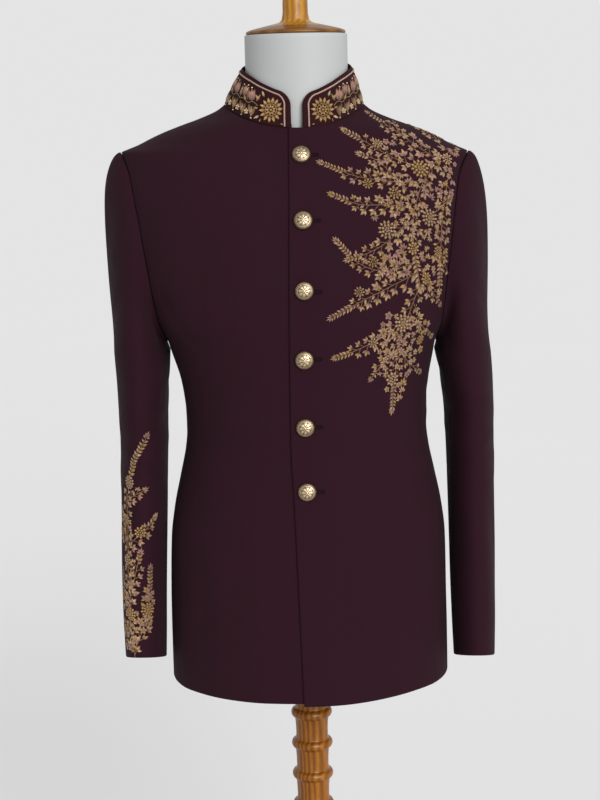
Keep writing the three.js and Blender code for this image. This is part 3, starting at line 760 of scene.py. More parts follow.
def side_panel(name, side):
    def seam(sign, v):
        turn, height = outer_edge(sign, v * KNOTS[0])
        return turn - 2 * sign * seam_turn(height), height

    ends = [abs(float(seam(sign, np.array(1.0))[0])) for sign in (-1, 1)]

    def bottom(u):
        turn = mix(seam(-1, np.array(0.0))[0], seam(1, np.array(0.0))[0], u)
        return turn, hem_height(turn)

    def top(u):
        before = u < 0.5
        along = np.where(before, mix(FRONT_JOIN, 0, u * 2), mix(0, BACK_JOIN, u * 2 - 1))
        front_share = ARMHOLE["front"](along) / ARMHOLE["front"](FRONT_JOIN) * ends[0]
        back_share = ARMHOLE["back"](along) / ARMHOLE["back"](BACK_JOIN) * ends[1]
        return np.where(before, -front_share, back_share), armhole_height(along)

    edges = {"left": lambda v: seam(-1, v), "right": lambda v: seam(1, v), "bottom": bottom, "top": top}
    return body_panel(name, edges, graded(18), graded(100), side, SEWN_BUT_HEM)


# ---- sleeves ----------------------------------------------------------------------------------------------


def armhole_point(turn):
    """A point of the armhole by the angle round the sleeve from its outer line, first to the front."""
    is_front = turn <= 180
    along = 1 - np.where(is_front, turn, 360 - turn) / 180
    angle = np.where(is_front, -ARMHOLE["front"](along), ARMHOLE["back"](along))
    return body_point(angle, armhole_height(along))


def tube_point(turn, height):
    """A point of the hanging sleeve by the same angle."""
    angle = np.radians(turn)
    r = oval_radius(angle, SLEEVE["half"](height), SLEEVE["depth"](height), SLEEVE["power"](height))
    forward = r * np.sin(angle)
    rise = SLEEVE["rake"](height) * forward
    return points(SLEEVE["x"](height) + r * np.cos(angle), SLEEVE["y"](height) - forward, height + rise)


def sleeve_point(turn, along):
    """The sleeve's outer skin, from the armhole (along 0) through the bicep (1) to the cuff (2)."""
    turn = turn % 360
    hanging = tube_point(turn, mix(BICEP, CUFF, np.clip(along - 1, 0, 1)))
    away = unit(points(CAP["out"](turn), CAP["forward"](turn), CAP["down"](turn)))
    start = armhole_point(turn) + away * 2 * SEAM_GAP
    end = tube_point(turn, np.full_like(turn, BICEP))
    t = np.clip(along, 0, 1)
    reach, fall = CAP["reach"](turn), CAP["fall"](turn)
    spread = CAP_SPREAD * np.cos(np.radians(turn))
    head = points(
        hermite(start[..., 0], away[..., 0] * reach, end[..., 0], spread, t),
        hermite(start[..., 1], away[..., 1] * reach, end[..., 1], 0.0, t),
        hermite(start[..., 2], away[..., 2] * reach, end[..., 2], -fall, t),
    )
    return np.where((along >= 1)[..., None], hanging, head)


def sleeve_normal(turn, along):
    around = sleeve_point(turn + 1, along) - sleeve_point(turn - 1, along)
    low, high = np.maximum(along - 0.01, 0), np.minimum(along + 0.01, 2)
    down = sleeve_point(turn, high) - sleeve_point(turn, low)
    return unit(np.cross(around, down))


HEAD_ROLL = 3.8  # how far the sleeve's top swells up beside the shoulder, over what turn and length
HEAD_TURN = 15.0
HEAD_RISE = 0.006
HEAD_FADE = 0.11
VALLEY = 6.0  # how far the sleeve sinks along the lower front of the armhole, and where
VALLEY_TURN = 108.0
VALLEY_SPREAD = 30.0
VALLEY_RISE = 0.13
VALLEY_FADE = 0.36


def sleeve_head(turn, along):
    """The roll over the sleeve's top and the valley it makes along the armhole's lower front."""
    folded = np.abs(signed(turn))
    roll = HEAD_ROLL * bell(folded, HEAD_TURN)
    roll = roll * (1 - np.exp(-along / HEAD_RISE)) * bell(along, HEAD_FADE)
    valley = VALLEY * bell(folded - VALLEY_TURN, VALLEY_SPREAD)
    valley = valley * (1 - np.exp(-along / VALLEY_RISE)) * bell(along, VALLEY_FADE)
    return roll - valley


def sleeve_off(turn, along, spots, side):
    share = ease(along, *SLEEVE_FADE)
    return sleeve_crease(turn, spots[..., 2], side) * share + sleeve_head(turn, along)


def sleeve_piece(name, start, end, count, side):
    """A top or under sleeve from one seam's turn to the other's."""
    head, hanging = np.linspace(INSIDE, 1, 52), np.linspace(1, 2 - INSIDE, 80)[1:]
    rows = np.concatenate([NEAR_EDGE, head, hanging, 2 - NEAR_EDGE[::-1]])
    u, along = np.meshgrid(graded(count), rows[::-1])
    turn = mix(start + SLEEVE_SEAM, end - SLEEVE_SEAM, u)
    base, normal = sleeve_point(turn, along), sleeve_normal(turn, along)
    off = sleeve_off(turn, along, base, side)
    return shell(name, base, normal, off, SEWN_BUT_HEM, side, sleeve_hang, side > 0)


# ---- collar -----------------------------------------------------------------------------------------------


def collar_point(turn, share):
    """The collar by the angle from the centre front, through the wearer's left, and the share of its rise."""
    folded = np.where(turn > 180, 360 - turn, turn)
    base = body_point(folded - 90, neckline(folded - 90))
    angle = np.radians(folded - 90)
    r = oval_radius(angle, COLLAR_HALF, COLLAR_DEPTH, 2)
    top = points(r * np.cos(angle), r * np.sin(angle), COLLAR_TOP["height"](folded))
    bulge = COLLAR_BULGE * np.sin(np.pi * share)
    seam_rise = 1.4 * SEAM_GAP * (1 - share)
    made = base + (top - base) * share[..., None]
    made = made + points(bulge * np.cos(angle), bulge * np.sin(angle), seam_rise)
    return np.where((turn > 180)[..., None], mirrored(made, -1), made)


def collar_normal(turn, share):
    around = collar_point(turn + 1, share) - collar_point(turn - 1, share)
    up = collar_point(turn, np.minimum(share + 0.02, 1.02)) - collar_point(turn, np.maximum(share - 0.02, 0))
    return unit(np.cross(around, up))


def collar_ends(share):
    """The collar's first and last turn at a share of its rise, with its rounded corners."""
    rise = COLLAR_TOP["height"](0.0) - FRONT_NECK
    over = np.clip((share * rise - (rise - COLLAR_CORNER)) / COLLAR_CORNER, 0, 1)
    rounding = COLLAR_CORNER * (1 - np.sqrt(1 - over**2))
    depth = mix(SECTIONS["front"](FRONT_NECK), COLLAR_DEPTH, share)
    first = np.degrees(np.arctan2(COLLAR_END_LEFT + rounding, depth))
    last = 360 - np.degrees(np.arctan2(COLLAR_END_RIGHT + rounding, depth))
    return first, last


def collar(name):
    closing = 1 - 0.38 * (1 - np.linspace(0, 1, 26)[1:]) ** 2
    shares = np.concatenate([[0, 0.01, 0.03], np.linspace(0.06, 0.62, 14), closing])
    near = np.array([0.0, 0.006, 0.016, 0.03, 0.05])
    quarter = np.concatenate([near, np.linspace(0.08, 1, 26)])
    rows = []
    for share in shares:
        first, last = collar_ends(share)
        half = np.linspace(90, 270, 62)[1:-1]
        rows.append(np.concatenate([mix(first, 90, quarter), half, mix(last, 270, quarter)[::-1]]))
    turn = np.array(rows)
    share = np.repeat(shares[:, None], turn.shape[1], axis=1)
    base, normal = collar_point(turn, share), collar_normal(turn, share)
    off = np.zeros(share.shape)
    return shell(name, base, normal, off, ("free", "free", "seam", "free"), 1, body_hang, False)


COLLAR_TAPE_END = 7.0  # the turn from the centre front where the tape starts
TAPE_REACH = 4.0  # above and below the seam
TAPE_DEPTH = CLOTH + 0.15  # under the outer skin
TAPE_THICK = 0.3


def collar_tape(name):
    """The tape inside the neck that closes the collar's seam."""
    turn = np.linspace(COLLAR_TAPE_END, 360 - COLLAR_TAPE_END, 160)
    folded = np.where(turn > 180, 360 - turn, turn)
    side = np.where(turn > 180, -1.0, 1.0)[:, None] * np.array([1.0, 0, 0]) + np.array([0, 1.0, 1.0])
    around = folded - 90
    below = neckline(around) - TAPE_REACH
    low = (body_point(around, below) + body_normal(around, below) * -TAPE_DEPTH) * side
    flat = np.zeros(turn.shape)
    seam = collar_point(turn, flat) + collar_normal(turn, flat) * -TAPE_DEPTH
    share = TAPE_REACH / collar_height(turn)
    high = collar_point(turn, share) + collar_normal(turn, share) * -TAPE_DEPTH
    outer = np.stack([body_hang(row) for row in (low, seam, high)])
    inward = unit(np.cross(outer[1] - outer[0], np.gradient(outer[1], axis=0)))
    inner = outer + inward * TAPE_THICK
    faces = np.concatenate(wall_faces(3, len(turn), False))
    uv = np.stack(np.broadcast_arrays(turn[None] * 1.2, np.array([[0.0], [4.0], [8.0]])), axis=-1)
    spots = np.concatenate([outer.reshape(-1, 3), inner.reshape(-1, 3)])
    return mesh_object(name, spots, faces, np.tile(uv.reshape(-1, 2), (2, 1)))


# ---- materials --------------------------------------------------------------------------------------------


def linear(red, green, blue):
    """A linear colour from screen values of 0 to 255."""
    made = []
    for value in (red, green, blue):
        share = value / 255
        made.append(share / 12.92 if share <= 0.04045 else ((share + 0.055) / 1.055) ** 2.4)
    return tuple(made)


class Look:
    """One material and short ways to add and join its nodes."""

    def __init__(self, name, **sockets):
        self.material = bpy.data.materials.new(name)
        self.material.use_nodes = True
        self.tree = self.material.node_tree
        self.shader = self.tree.nodes["Principled BSDF"]
        for socket, value in sockets.items():
            self.shader.inputs[socket.replace("_", " ")].default_value = value

    def node(self, kind, **inputs):
        made = self.tree.nodes.new(f"ShaderNode{kind}")
        for key, value in inputs.items():
            self.feed(made.inputs[key.replace("_", " ")], value)
        return made

    def feed(self, socket, value):
        if isinstance(value, bpy.types.NodeSocket):
            self.tree.links.new(value, socket)
        else:
            socket.default_value = value

    def math(self, operation, a, b):
        made = self.tree.nodes.new("ShaderNodeMath")
        made.operation = operation
        self.feed(made.inputs[0], a)
        self.feed(made.inputs[1], b)
        return made.outputs[0]

    def weighed(self, a, share_a, b, share_b):
        return self.math("ADD", self.math("MULTIPLY", a, share_a), self.math("MULTIPLY", b, share_b))

    def painted(self):
        """The colour painted on the mesh."""
        tone = self.node("Attribute")
        tone.attribute_name = "tone"
        tone.attribute_type = "GEOMETRY"
        return tone.outputs["Color"]

    def blend(self, factor, a, b, kind="MIX"):
        made = self.tree.nodes.new("ShaderNodeMix")
        made.data_type = "RGBA"
        made.blend_type = kind
        self.feed(made.inputs[0], factor)
        self.feed(made.inputs[6], a)
        self.feed(made.inputs[7], b)
        return made.outputs[2]

    def spread(self, value, low, high, to_low=0.0, to_high=1.0):
        made = self.node("MapRange")
        for i, item in enumerate((value, low, high, to_low, to_high)):
            self.feed(made.inputs[i], item)
        return made.outputs[0]

    def coordinates(self, kind, scale=(1, 1, 1), turn=(0, 0, 0)):
        source = self.node("UVMap").outputs[0] if kind == "UV" else self.node("TexCoord").outputs[kind]
        placed = self.node("Mapping", Vector=source)
        placed.inputs["Scale"].default_value = scale
        placed.inputs["Rotation"].default_value = turn
        return placed.outputs[0]

    def noise(self, vector, scale, detail, rough=0.55):
        return self.node("TexNoise", Vector=vector, Scale=scale, Detail=detail, Roughness=rough).outputs[0]

    def wave(self, vector, scale, distortion, detail):
        made = self.node("TexWave", Vector=vector, Scale=scale, Distortion=distortion, Detail=detail)
        return made.outputs["Fac"]

    def bump(self, height, depth, before=None):
        """A bump of that depth in metres."""
        made = self.node("Bump", Height=height, Strength=1.0, Distance=depth)
        if before is not None:
            self.feed(made.inputs["Normal"], before)
        return made.outputs[0]

    def finish(self, colour=None, roughness=None, normal=None):
        for socket, value in (("Base Color", colour), ("Roughness", roughness), ("Normal", normal)):
            if value is not None:
                self.feed(self.shader.inputs[socket], value)
        return self.material


def rgba(colour):
    return (*colour, 1.0)


def wool(name, dark, light):
    """Fine worsted suiting: a close twill with a soft bloom."""
    look = Look(name, Sheen_Weight=0.015, Sheen_Roughness=0.5, Specular_IOR_Level=0.09)
    flat = look.coordinates("UV")
    twill = look.wave(look.coordinates("UV", turn=(0, 0, math.radians(62))), 420, 0.6, 1.0)
    weft = look.wave(look.coordinates("UV", turn=(0, 0, math.radians(-20))), 560, 0.4, 1.0)
    slub = look.noise(look.coordinates("UV", scale=(1, 0.35, 1)), 900, 2.0)
    bloom = look.noise(flat, 26, 4.0, 0.6)
    share = look.weighed(slub, 0.75, bloom, 0.5)
    colour = look.blend(look.spread(share, 0.35, 0.9), rgba(dark), rgba(light))
    colour = look.blend(look.math("MULTIPLY", twill, 0.22), colour, rgba(light))
    roughness = look.spread(bloom, 0.3, 0.7, 0.8, 0.92)
    normal = look.bump(look.math("ADD", twill, look.math("MULTIPLY", weft, 0.6)), 0.00006)
    normal = look.bump(slub, 0.00007, normal)
    return look.finish(colour, roughness, normal)


def lining():
    """Satin lining, plain and dark."""
    look = Look("lining", Sheen_Weight=0.1, Specular_IOR_Level=0.4)
    flat = look.coordinates("UV", scale=(1, 0.2, 1))
    thread = look.noise(flat, 1400, 2.0)
    cloud = look.noise(look.coordinates("UV"), 14, 3.0)
    colour = look.blend(cloud, rgba(linear(26, 8, 14)), rgba(linear(40, 14, 24)))
    return look.finish(colour, look.spread(thread, 0.3, 0.7, 0.42, 0.58), look.bump(thread, 0.00004))


def thread(name, metal, rough, shine=0.5, pitch=0.00042):
    """Embroidery thread: satin stitches along the UV map, in the colours painted on each motif, with their
    painted relief shade.
    """
    look = Look(name, Metallic=metal, Specular_IOR_Level=shine, Sheen_Weight=0.02)
    stitches = look.wave(look.coordinates("UV"), 0.314 / pitch, 0.8, 1.0)
    # Here only random patches of wear in the thread's tone and roughness.
    wear_and_relief_shade = look.noise(look.coordinates("Object"), 900, 3.0)
    patches = look.spread(wear_and_relief_shade, 0.3, 0.7, 0.72, 1.25)
    # Painted shade between the stitches and a painted highlight along them, times the patches of wear.
    shade = look.math("MULTIPLY", look.spread(stitches, 0, 1, 0.55, 1.2), patches)
    grey = look.node("CombineXYZ", X=shade, Y=shade, Z=shade).outputs[0]
    colour = look.blend(1.0, look.painted(), grey, "MULTIPLY")
    roughness = look.spread(wear_and_relief_shade, 0.3, 0.7, rough - 0.08, rough + 0.1)
    return look.finish(colour, roughness, look.bump(stitches, 0.0002))


def brass():
    """Antique gold: bright on what stands up, dark in the hollows of the embossing."""
    look = Look("brass_antique", Metallic=1.0)
    relief = look.node("SeparateColor", Color=look.painted()).outputs[0]
    grime = look.noise(look.coordinates("Object"), 700, 4.0, 0.6)
    share = look.math("ADD", relief, look.math("MULTIPLY", look.math("SUBTRACT", grime, 0.5), 0.5))
    colour = look.blend(look.spread(share, 0.15, 0.75), rgba(linear(62, 44, 30)), rgba(linear(208, 186, 154)))
    roughness = look.spread(share, 0.1, 0.9, 0.55, 0.3)
    return look.finish(colour, roughness, look.bump(grime, 0.00005))


def form_shell():
    """The form's moulded shell, satin white."""
    look = Look("form_shell_satin", Specular_IOR_Level=0.35)
    where = look.coordinates("Object")
    orange_peel = look.noise(where, 420, 2.0)
    cloud = look.noise(where, 9, 4.0)
    colour = look.blend(cloud, rgba(linear(150, 151, 151)), rgba(linear(158, 159, 159)))
    return look.finish(colour, look.spread(cloud, 0.3, 0.7, 0.48, 0.6), look.bump(orange_peel, 0.00004))


def wood(name, pale, deep, grain_axis):
    """Varnished turned wood: long grain with pores, and growth rings that wander."""
    squeeze = [1.0, 1.0, 1.0]
    squeeze[grain_axis] = 0.07
    look = Look(name, Specular_IOR_Level=0.25, Coat_Weight=0.1, Coat_Roughness=0.14)
    where = look.coordinates("Object", scale=tuple(squeeze))
    wander = look.noise(where, 22, 3.0)
    bands = look.wave(look.coordinates("Object", scale=tuple(squeeze), turn=(0.05, 0.1, 0.4)), 48, 5.0, 3.0)
    pores = look.noise(where, 1300, 2.0, 0.7)
    cloud = look.noise(look.coordinates("Object"), 26, 3.0)
    share = look.weighed(bands, 0.34, wander, 0.76)
    colour = look.blend(look.spread(share, 0.2, 0.9), rgba(deep), rgba(pale))
    pore_colour = rgba(tuple(value * 0.35 for value in deep))
    colour = look.blend(look.spread(pores, 0.28, 0.5, 0.55, 0.0), colour, pore_colour)
    colour = look.blend(look.spread(cloud, 0.35, 0.7, 0.0, 0.3), colour, rgba(deep))
    return look.finish(colour, look.spread(pores, 0.3, 0.7, 0.42, 0.3), look.bump(pores, 0.00006))


def floor_look(albedo):
    look = Look("studio_floor", Specular_IOR_Level=0.0)
    cloud = look.noise(look.coordinates("Object"), 1.3, 2.0)
    low, high = rgba((albedo * 0.995,) * 3), rgba((albedo * 1.005,) * 3)
    look.shader.inputs["Roughness"].default_value = 1.0
    return look.finish(look.blend(cloud, low, high))


WOOL = wool("wool_suiting", linear(27, 7, 16), linear(39, 13, 24))
COLLAR_WOOL = wool("collar_wool_suiting", linear(30, 8, 12), linear(42, 14, 18))
LINING = lining()
GOLD_THREAD = thread("gold_thread", 0.45, 0.42)
PIPING_THREAD = thread("piping_thread", 0.1, 0.6, 0.3, 0.0009)
HOLE_THREAD = thread("buttonhole_thread", 0.0, 0.8, 0.06, 0.0005)
BRASS = brass()
FORM_SHELL = form_shell()
TURNED_WOOD = wood("turned_wood_varnished", linear(160, 100, 16), linear(82, 38, 2), 2)
# Paler wood on the finial is painted light from above; darker wood on the cap's disc is painted shade. The
# base uses the darker wood too.
LIT_FINIAL_WOOD = wood("finial_wood_painted_light", linear(190, 138, 42), linear(112, 66, 12), 2)
DARK_WOOD_FOR_DISC_SHADE_AND_BASE = wood("dark_wood_disc_shade_and_base", linear(132, 86, 26), linear(72, 40, 8), 0)


def dress(piece, slot, *materials):
    """Gives a piece its materials and its ride on the part's one body; its slot is not used."""
    for material in materials:
        piece.data.materials.append(material)
    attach(piece, "root")
    return piece


# ---- the camera, fitted to the photograph -----------------------------------------------------------------

CAMERA_PLACE = (-0.0056, -2.32, 1.2635)
CAMERA_PITCH = math.radians(9.3)
CAMERA_ROLL = math.radians(1.37)
CAMERA_LENS = 81.0  # millimetres, for a 36 mm sensor on the picture's long side


def make_camera():
    data = bpy.data.cameras.new("camera")
    data.sensor_fit = "AUTO"
    data.sensor_width = 36.0
    data.lens = CAMERA_LENS
    data.clip_end = 100
    made = bpy.data.objects.new("camera", data)
    made.rotation_mode = "XYZ"
    from_pitch = math.pi / 2 - CAMERA_PITCH
    cp, sp = math.cos(from_pitch), math.sin(from_pitch)
    cr, sr = math.cos(-CAMERA_ROLL), math.sin(-CAMERA_ROLL)
    turned = [[cr, -sr, 0], [cp * sr, cp * cr, -sp], [sp * sr, sp * cr, cp]]
    place = [[*row, value] for row, value in zip(turned, CAMERA_PLACE)]
    bpy.context.scene.collection.objects.link(made)
    made.matrix_world = Matrix([*place, (0, 0, 0, 1)])
    bpy.context.scene.camera = made


make_camera()

# ---- light and floor --------------------------------------------------------------------------------------

BACKDROP = linear(228, 228, 228)[0]
SUN_STRENGTH = 3.3
SUN_RISE = math.radians(18)
SUN_ASIDE = math.radians(26)  # to the picture's right of the camera
SUN_SOFTNESS = math.radians(38)
FLOOR_RADIUS = 40.0


def make_light():
    scene = bpy.context.scene
    scene.view_settings.view_transform = "Standard"
    scene.view_settings.look = "None"
    world = bpy.data.worlds.new("studio")
    world.use_nodes = True
    world.node_tree.nodes["Background"].inputs["Color"].default_value = (BACKDROP, BACKDROP, BACKDROP, 1)
    scene.world = world
    data = bpy.data.lights.new("key", "SUN")
    data.energy = SUN_STRENGTH
    data.angle = SUN_SOFTNESS
    key = bpy.data.objects.new("key", data)
    key.rotation_euler = (math.pi / 2 - SUN_RISE, 0, SUN_ASIDE)
    scene.collection.objects.link(key)


def make_floor():
    count = 96
    angles = np.linspace(0, 2 * np.pi, count, endpoint=False)
    radii = [0.5, 1.5, 4, 12, FLOOR_RADIUS]
    floor_height = -HEM_HEIGHT - 0.5
    rings = [points(r * 1000 * np.cos(angles), r * 1000 * np.sin(angles), floor_height) for r in radii]
    spots = np.concatenate([[[0, 0, floor_height]], *rings])
    faces = [[0, 1 + i, 1 + (i + 1) % count] for i in range(count)]
    faces += grid_faces(len(radii), count, 1, flip=True, wrap=True).tolist()
    floor = mesh_object("studio_floor", spots, faces)
    fall = SUN_STRENGTH * math.sin(SUN_RISE) / math.pi
    floor.data.materials.append(floor_look(BACKDROP / (BACKDROP + fall)))


make_light()
make_floor()

# ---- the garment's panels ---------------------------------------------------------------------------------


def make_panels():
    made = {
        "front_left": front("coat_front_left", 1),
        "front_right": front("coat_front_right", -1),
        "collar": collar("coat_collar"),
    }
    for word, side in (("left", 1), ("right", -1)):
        made[f"side_{word}"] = side_panel(f"coat_side_{word}", side)
        made[f"back_{word}"] = back(f"coat_back_{word}", side)
        made[f"top_sleeve_{word}"] = sleeve_piece(
            f"coat_top_sleeve_{word}", BACK_ARM_SEAM - 360, FRONT_ARM_SEAM, 58, side
        )
        made[f"under_sleeve_{word}"] = sleeve_piece(
            f"coat_under_sleeve_{word}", FRONT_ARM_SEAM, BACK_ARM_SEAM, 28, side
        )
    for node, piece in made.items():
        is_collar = node == "collar"
        dress(piece, "collar_wool" if is_collar else "wool", COLLAR_WOOL if is_collar else WOOL, LINING)
        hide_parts(node)
    return made


PANELS = make_panels()

# ---- turned and moulded pieces ----------------------------------------------------------------------------


def rounded(outline, steps):
    """A turned outline with its corners eased: a centripetal curve through the given points."""
    spots = np.array(outline, dtype=float)
    ends = np.concatenate([[2 * spots[0] - spots[1]], spots, [2 * spots[-1] - spots[-2]]])
    made = []
    for a, b, c, d in zip(ends, ends[1:], ends[2:], ends[3:]):
        gaps = [max(float(np.linalg.norm(q - p)) ** 0.5, 1e-6) for p, q in ((a, b), (b, c), (c, d))]
        leave = ((b - a) / gaps[0] - (c - a) / (gaps[0] + gaps[1]) + (c - b) / gaps[1]) * gaps[1]
        arrive = ((c - b) / gaps[1] - (d - b) / (gaps[1] + gaps[2]) + (d - c) / gaps[2]) * gaps[1]
        made += [hermite(b, leave, c, arrive, t) for t in np.linspace(0, 1, steps, endpoint=False)]
    made.append(spots[-1])
    made = np.array(made)
    made[:, 0] = np.maximum(made[:, 0], 0)
    return made


def lathed(name, outline, sides, squash=1.0):
    """A body turned round the stand's axis from (radius, height) points, closed on the axis at both ends."""
    profile = np.array(outline, dtype=float)
    inner = profile[1:-1]
    angles = np.linspace(0, 2 * np.pi, sides, endpoint=False)
    rings = points(
        inner[:, :1] * np.cos(angles), inner[:, :1] * np.sin(angles) * squash, inner[:, 1:] + 0 * angles
    )
    count = len(inner)
    spots = np.concatenate([rings.reshape(-1, 3), [[0, 0, profile[0, 1]], [0, 0, profile[-1, 1]]]])
    rising = profile[-1, 1] > profile[0, 1]
    faces = grid_faces(count, sides, flip=not rising, wrap=True).tolist()
    low, high, last = count * sides, count * sides + 1, (count - 1) * sides
    for i in range(sides):
        j = (i + 1) % sides
        lids = ([low, j, i], [high, last + i, last + j])
        faces += [lid if rising else lid[::-1] for lid in lids]
    return mesh_object(name, spots, faces, smooth_angle=40)


def make_form():
    turns = np.linspace(0, 360, 128, endpoint=False)
    upper = np.linspace(UNDERARM, NECK_POINT, 60)
    heights = np.concatenate([np.linspace(FORM_BOTTOM, UNDERARM, 40), upper[1:]])
    turn, height = np.meshgrid(turns, heights)
    clear = FORM_CLEAR["side"](height) + FORM_CLEAR["more"](height) * np.sin(np.radians(turn)) ** 2
    torso = body_hang(body_point(turn, height) + body_normal(turn, height) * (-CLOTH - clear)[..., None])
    rise = np.linspace(700, FORM_TOP - 1.2, 30)
    neck_heights = np.concatenate([[NECK_ROOT], rise, [FORM_TOP - 0.4, FORM_TOP]])
    turn, height = np.meshgrid(turns, neck_heights)
    angle = np.radians(turn)
    trim = np.select([height >= FORM_TOP, height >= FORM_TOP - 0.5], [1.2, 0.4], 0.0)
    half, depth = NECK_HALF - trim, NECK_DEPTH - trim
    neck = body_hang(points(half * np.cos(angle), depth * np.sin(angle), height))
    spots, faces = gathered([ringed(torso), ringed(neck)])
    made = mesh_object("form_body", spots, faces, smooth_angle=40)
    dress(made, "form_shell", FORM_SHELL)
    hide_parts("dress_form")


CAP_RADIUS = 63.2
CAP_STEPS = 5  # points between two of the outline's
DISC_HEIGHT = 10.5  # of the cap's flat disc, under its finial
# The disc's edge: how far out from the cap's radius, and how high over its foot.
DISC_EDGE = [(-0.5, 0.6), (0, 1.8), (-0.7, 3.6), (-4, 5.3), (-12, 7.6)]
# The finial: its radius, and how high over the cap's foot.
FINIAL = [
    *[(42, 9.7), (32, 12), (21, 15), (17.8, 18), (17, 21), (16.1, 26), (15.9, 38), (15.9, 50), (18.4, 53)],
    *[(18.4, 57), (13.5, 60.5), (12.5, 64), (18, 70), (20.5, 79), (17.5, 89), (9, 95.5)],
]
FINIAL_TOP = 97.5


def make_cap():
    foot = FORM_TOP + SEAM_GAP
    turning = [(CAP_RADIUS + out, foot + up) for out, up in DISC_EDGE]
    turning += [(radius, foot + up) for radius, up in FINIAL]
    under = [(0, foot), (CAP_RADIUS - 1.8, foot)]
    outline = np.concatenate([under, rounded(turning, CAP_STEPS), [(0, foot + FINIAL_TOP)]])
    made = lathed("stand_neck_cap", outline, 112, NECK_DEPTH / NECK_HALF)
    dress(made, "turned_wood", LIT_FINIAL_WOOD, DARK_WOOD_FOR_DISC_SHADE_AND_BASE)
    disc_top = (HEM_HEIGHT + foot + DISC_HEIGHT) / 1000
    # The disc takes the darker wood as painted shade, and the finial the paler one as painted light.
    for polygon in made.data.polygons:
        polygon.material_index = 1 if polygon.center.z < disc_top else 0
    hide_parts("neck_cap")


BARREL_PITCH = 43.0
BARREL_WAIST = 21.5
BARRELS = 7
TOP_RING = -17.0  # height over the side hem
TURNED_STEPS = 4
# The pole's head under the form: its radius, and how high over the form's bottom.
POLE_HEAD = [(46, -4), (44, -9), (26, -14), (22, -24)]
# A ring of the pole with the waist under it: how far out from the waist, and how high over the ring's middle.
BARREL = [(0, 8), (0.7, 6.4), (4.1, 4.6), (5.7, 1.5), (5.7, -1.5), (4.1, -4.6), (1.6, -6.6), (0.8, -9)]
# The pole's last length: its radius, and how high over its foot.
POLE_FOOT = [(26, 120), (27, 60), (25, 40), (33, 30), (40, 14), (40, 0)]
BASE_RADIUS = 195.0
BASE_THICKNESS = 28.0
# The base's edge, how far out from its radius, and its top's radius; both with how high over the floor.
BASE_EDGE = [(-3, 0.2), (-0.8, 1), (0, 3), (0, 13), (-1.5, 16), (-6, 18), (-20, 20)]
BASE_TOP = [(130, 22.6), (62, 26), (59, 27.6), (56, 28)]


def make_pole():
    top = FORM_BOTTOM - SEAM_GAP
    foot = BASE_THICKNESS + SEAM_GAP - HEM_HEIGHT
    outline = [(44, top)] + [(radius, FORM_BOTTOM + up) for radius, up in POLE_HEAD]
    for i in range(BARRELS):
        ring = TOP_RING - BARREL_PITCH * i
        outline += [(BARREL_WAIST + out, ring + up) for out, up in BARREL]
    below = TOP_RING - BARREL_PITCH * BARRELS
    outline += [(BARREL_WAIST, below + 8 - BARREL_PITCH * 0.4), (23, below - 20)]
    outline += [(radius, foot + up) for radius, up in POLE_FOOT]
    profile = np.concatenate([[(0, top)], rounded(outline, TURNED_STEPS), [(0, foot)]])
    made = lathed("stand_pole", profile, 96)
    dress(made, "turned_wood", TURNED_WOOD)
    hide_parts("pole")


def make_base():
    floor = -HEM_HEIGHT
    outline = [(BASE_RADIUS + out, floor + up) for out, up in BASE_EDGE]
    outline += [(radius, floor + up) for radius, up in BASE_TOP]
    under = [(0, floor), (BASE_RADIUS - 3.4, floor)]
    top = [(0, floor + BASE_THICKNESS)]
    made = lathed("stand_base", np.concatenate([under, rounded(outline, TURNED_STEPS), top]), 160)
    dress(made, "turned_wood", DARK_WOOD_FOR_DISC_SHADE_AND_BASE)
    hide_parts("base")


make_form()
make_cap()
make_pole()
make_base()

# ---- places on the panels ---------------------------------------------------------------------------------


def front_spot(turn, height, up=0.0):
    """A point over the left front's outer skin, up millimetres off it."""
    base, normal = body_point(turn, height), body_normal(turn, height)
    off = body_crease(turn, height, 1) + lap_lift(base[..., 0], turn, 1) + up
    return body_hang(base + normal * np.asarray(off)[..., None])


def sleeve_spot(turn, height, up=0.0):
    """A point over the right sleeve's outer skin below the bicep."""
    along = 1 + (BICEP - height) / (BICEP - CUFF)
    base, normal = sleeve_point(turn, along), sleeve_normal(turn, along)
    off = sleeve_off(turn, along, base, -1) + up
    return sleeve_hang(mirrored(base + normal * np.asarray(off)[..., None], -1))


def collar_spot(turn, rise, up=0.0):
    """A point over the collar's outer skin, rise millimetres above its seam."""
    share = rise / collar_height(turn)
    base, normal = collar_point(turn, share), collar_normal(turn, share)
    return body_hang(base + normal * (np.zeros(share.shape) + up)[..., None])


def collar_height(turn):
    full = np.ones_like(np.asarray(turn, dtype=float))
    return np.linalg.norm(collar_point(turn, full) - collar_point(turn, full * 0), axis=-1)


def tangents(spot, a, b):
    """The two ways along a surface at a place, how far each goes for a step of one, and the way out of it."""
    along_a = (spot(a + 0.05, b) - spot(a - 0.05, b)) / 0.1
    along_b = (spot(a, b + 0.05) - spot(a, b - 0.05)) / 0.1
    out = unit(spot(a, b, 1.0) - spot(a, b))
    first = unit(along_a - out * np.sum(along_a * out, axis=-1, keepdims=True))
    second = np.cross(out, first)
    return along_a, along_b, first, second, out


def dot(a, b):
    return np.sum(a * b, axis=-1)


def front_place(x, z):
    """The turn and height of the left front's point that shows at x, z from in front."""
    height = np.array(z, dtype=float)
    for _ in range(4):
        low, high = np.full(height.shape, -95.0), np.full(height.shape, -0.5)
        for _ in range(22):
            turn = (low + high) / 2
            beyond = body_hang(body_point(turn, height))[..., 0] > x
            low, high = np.where(beyond, low, turn), np.where(beyond, turn, high)
        height = height + z - body_hang(body_point(turn, height))[..., 2]
    return turn, height


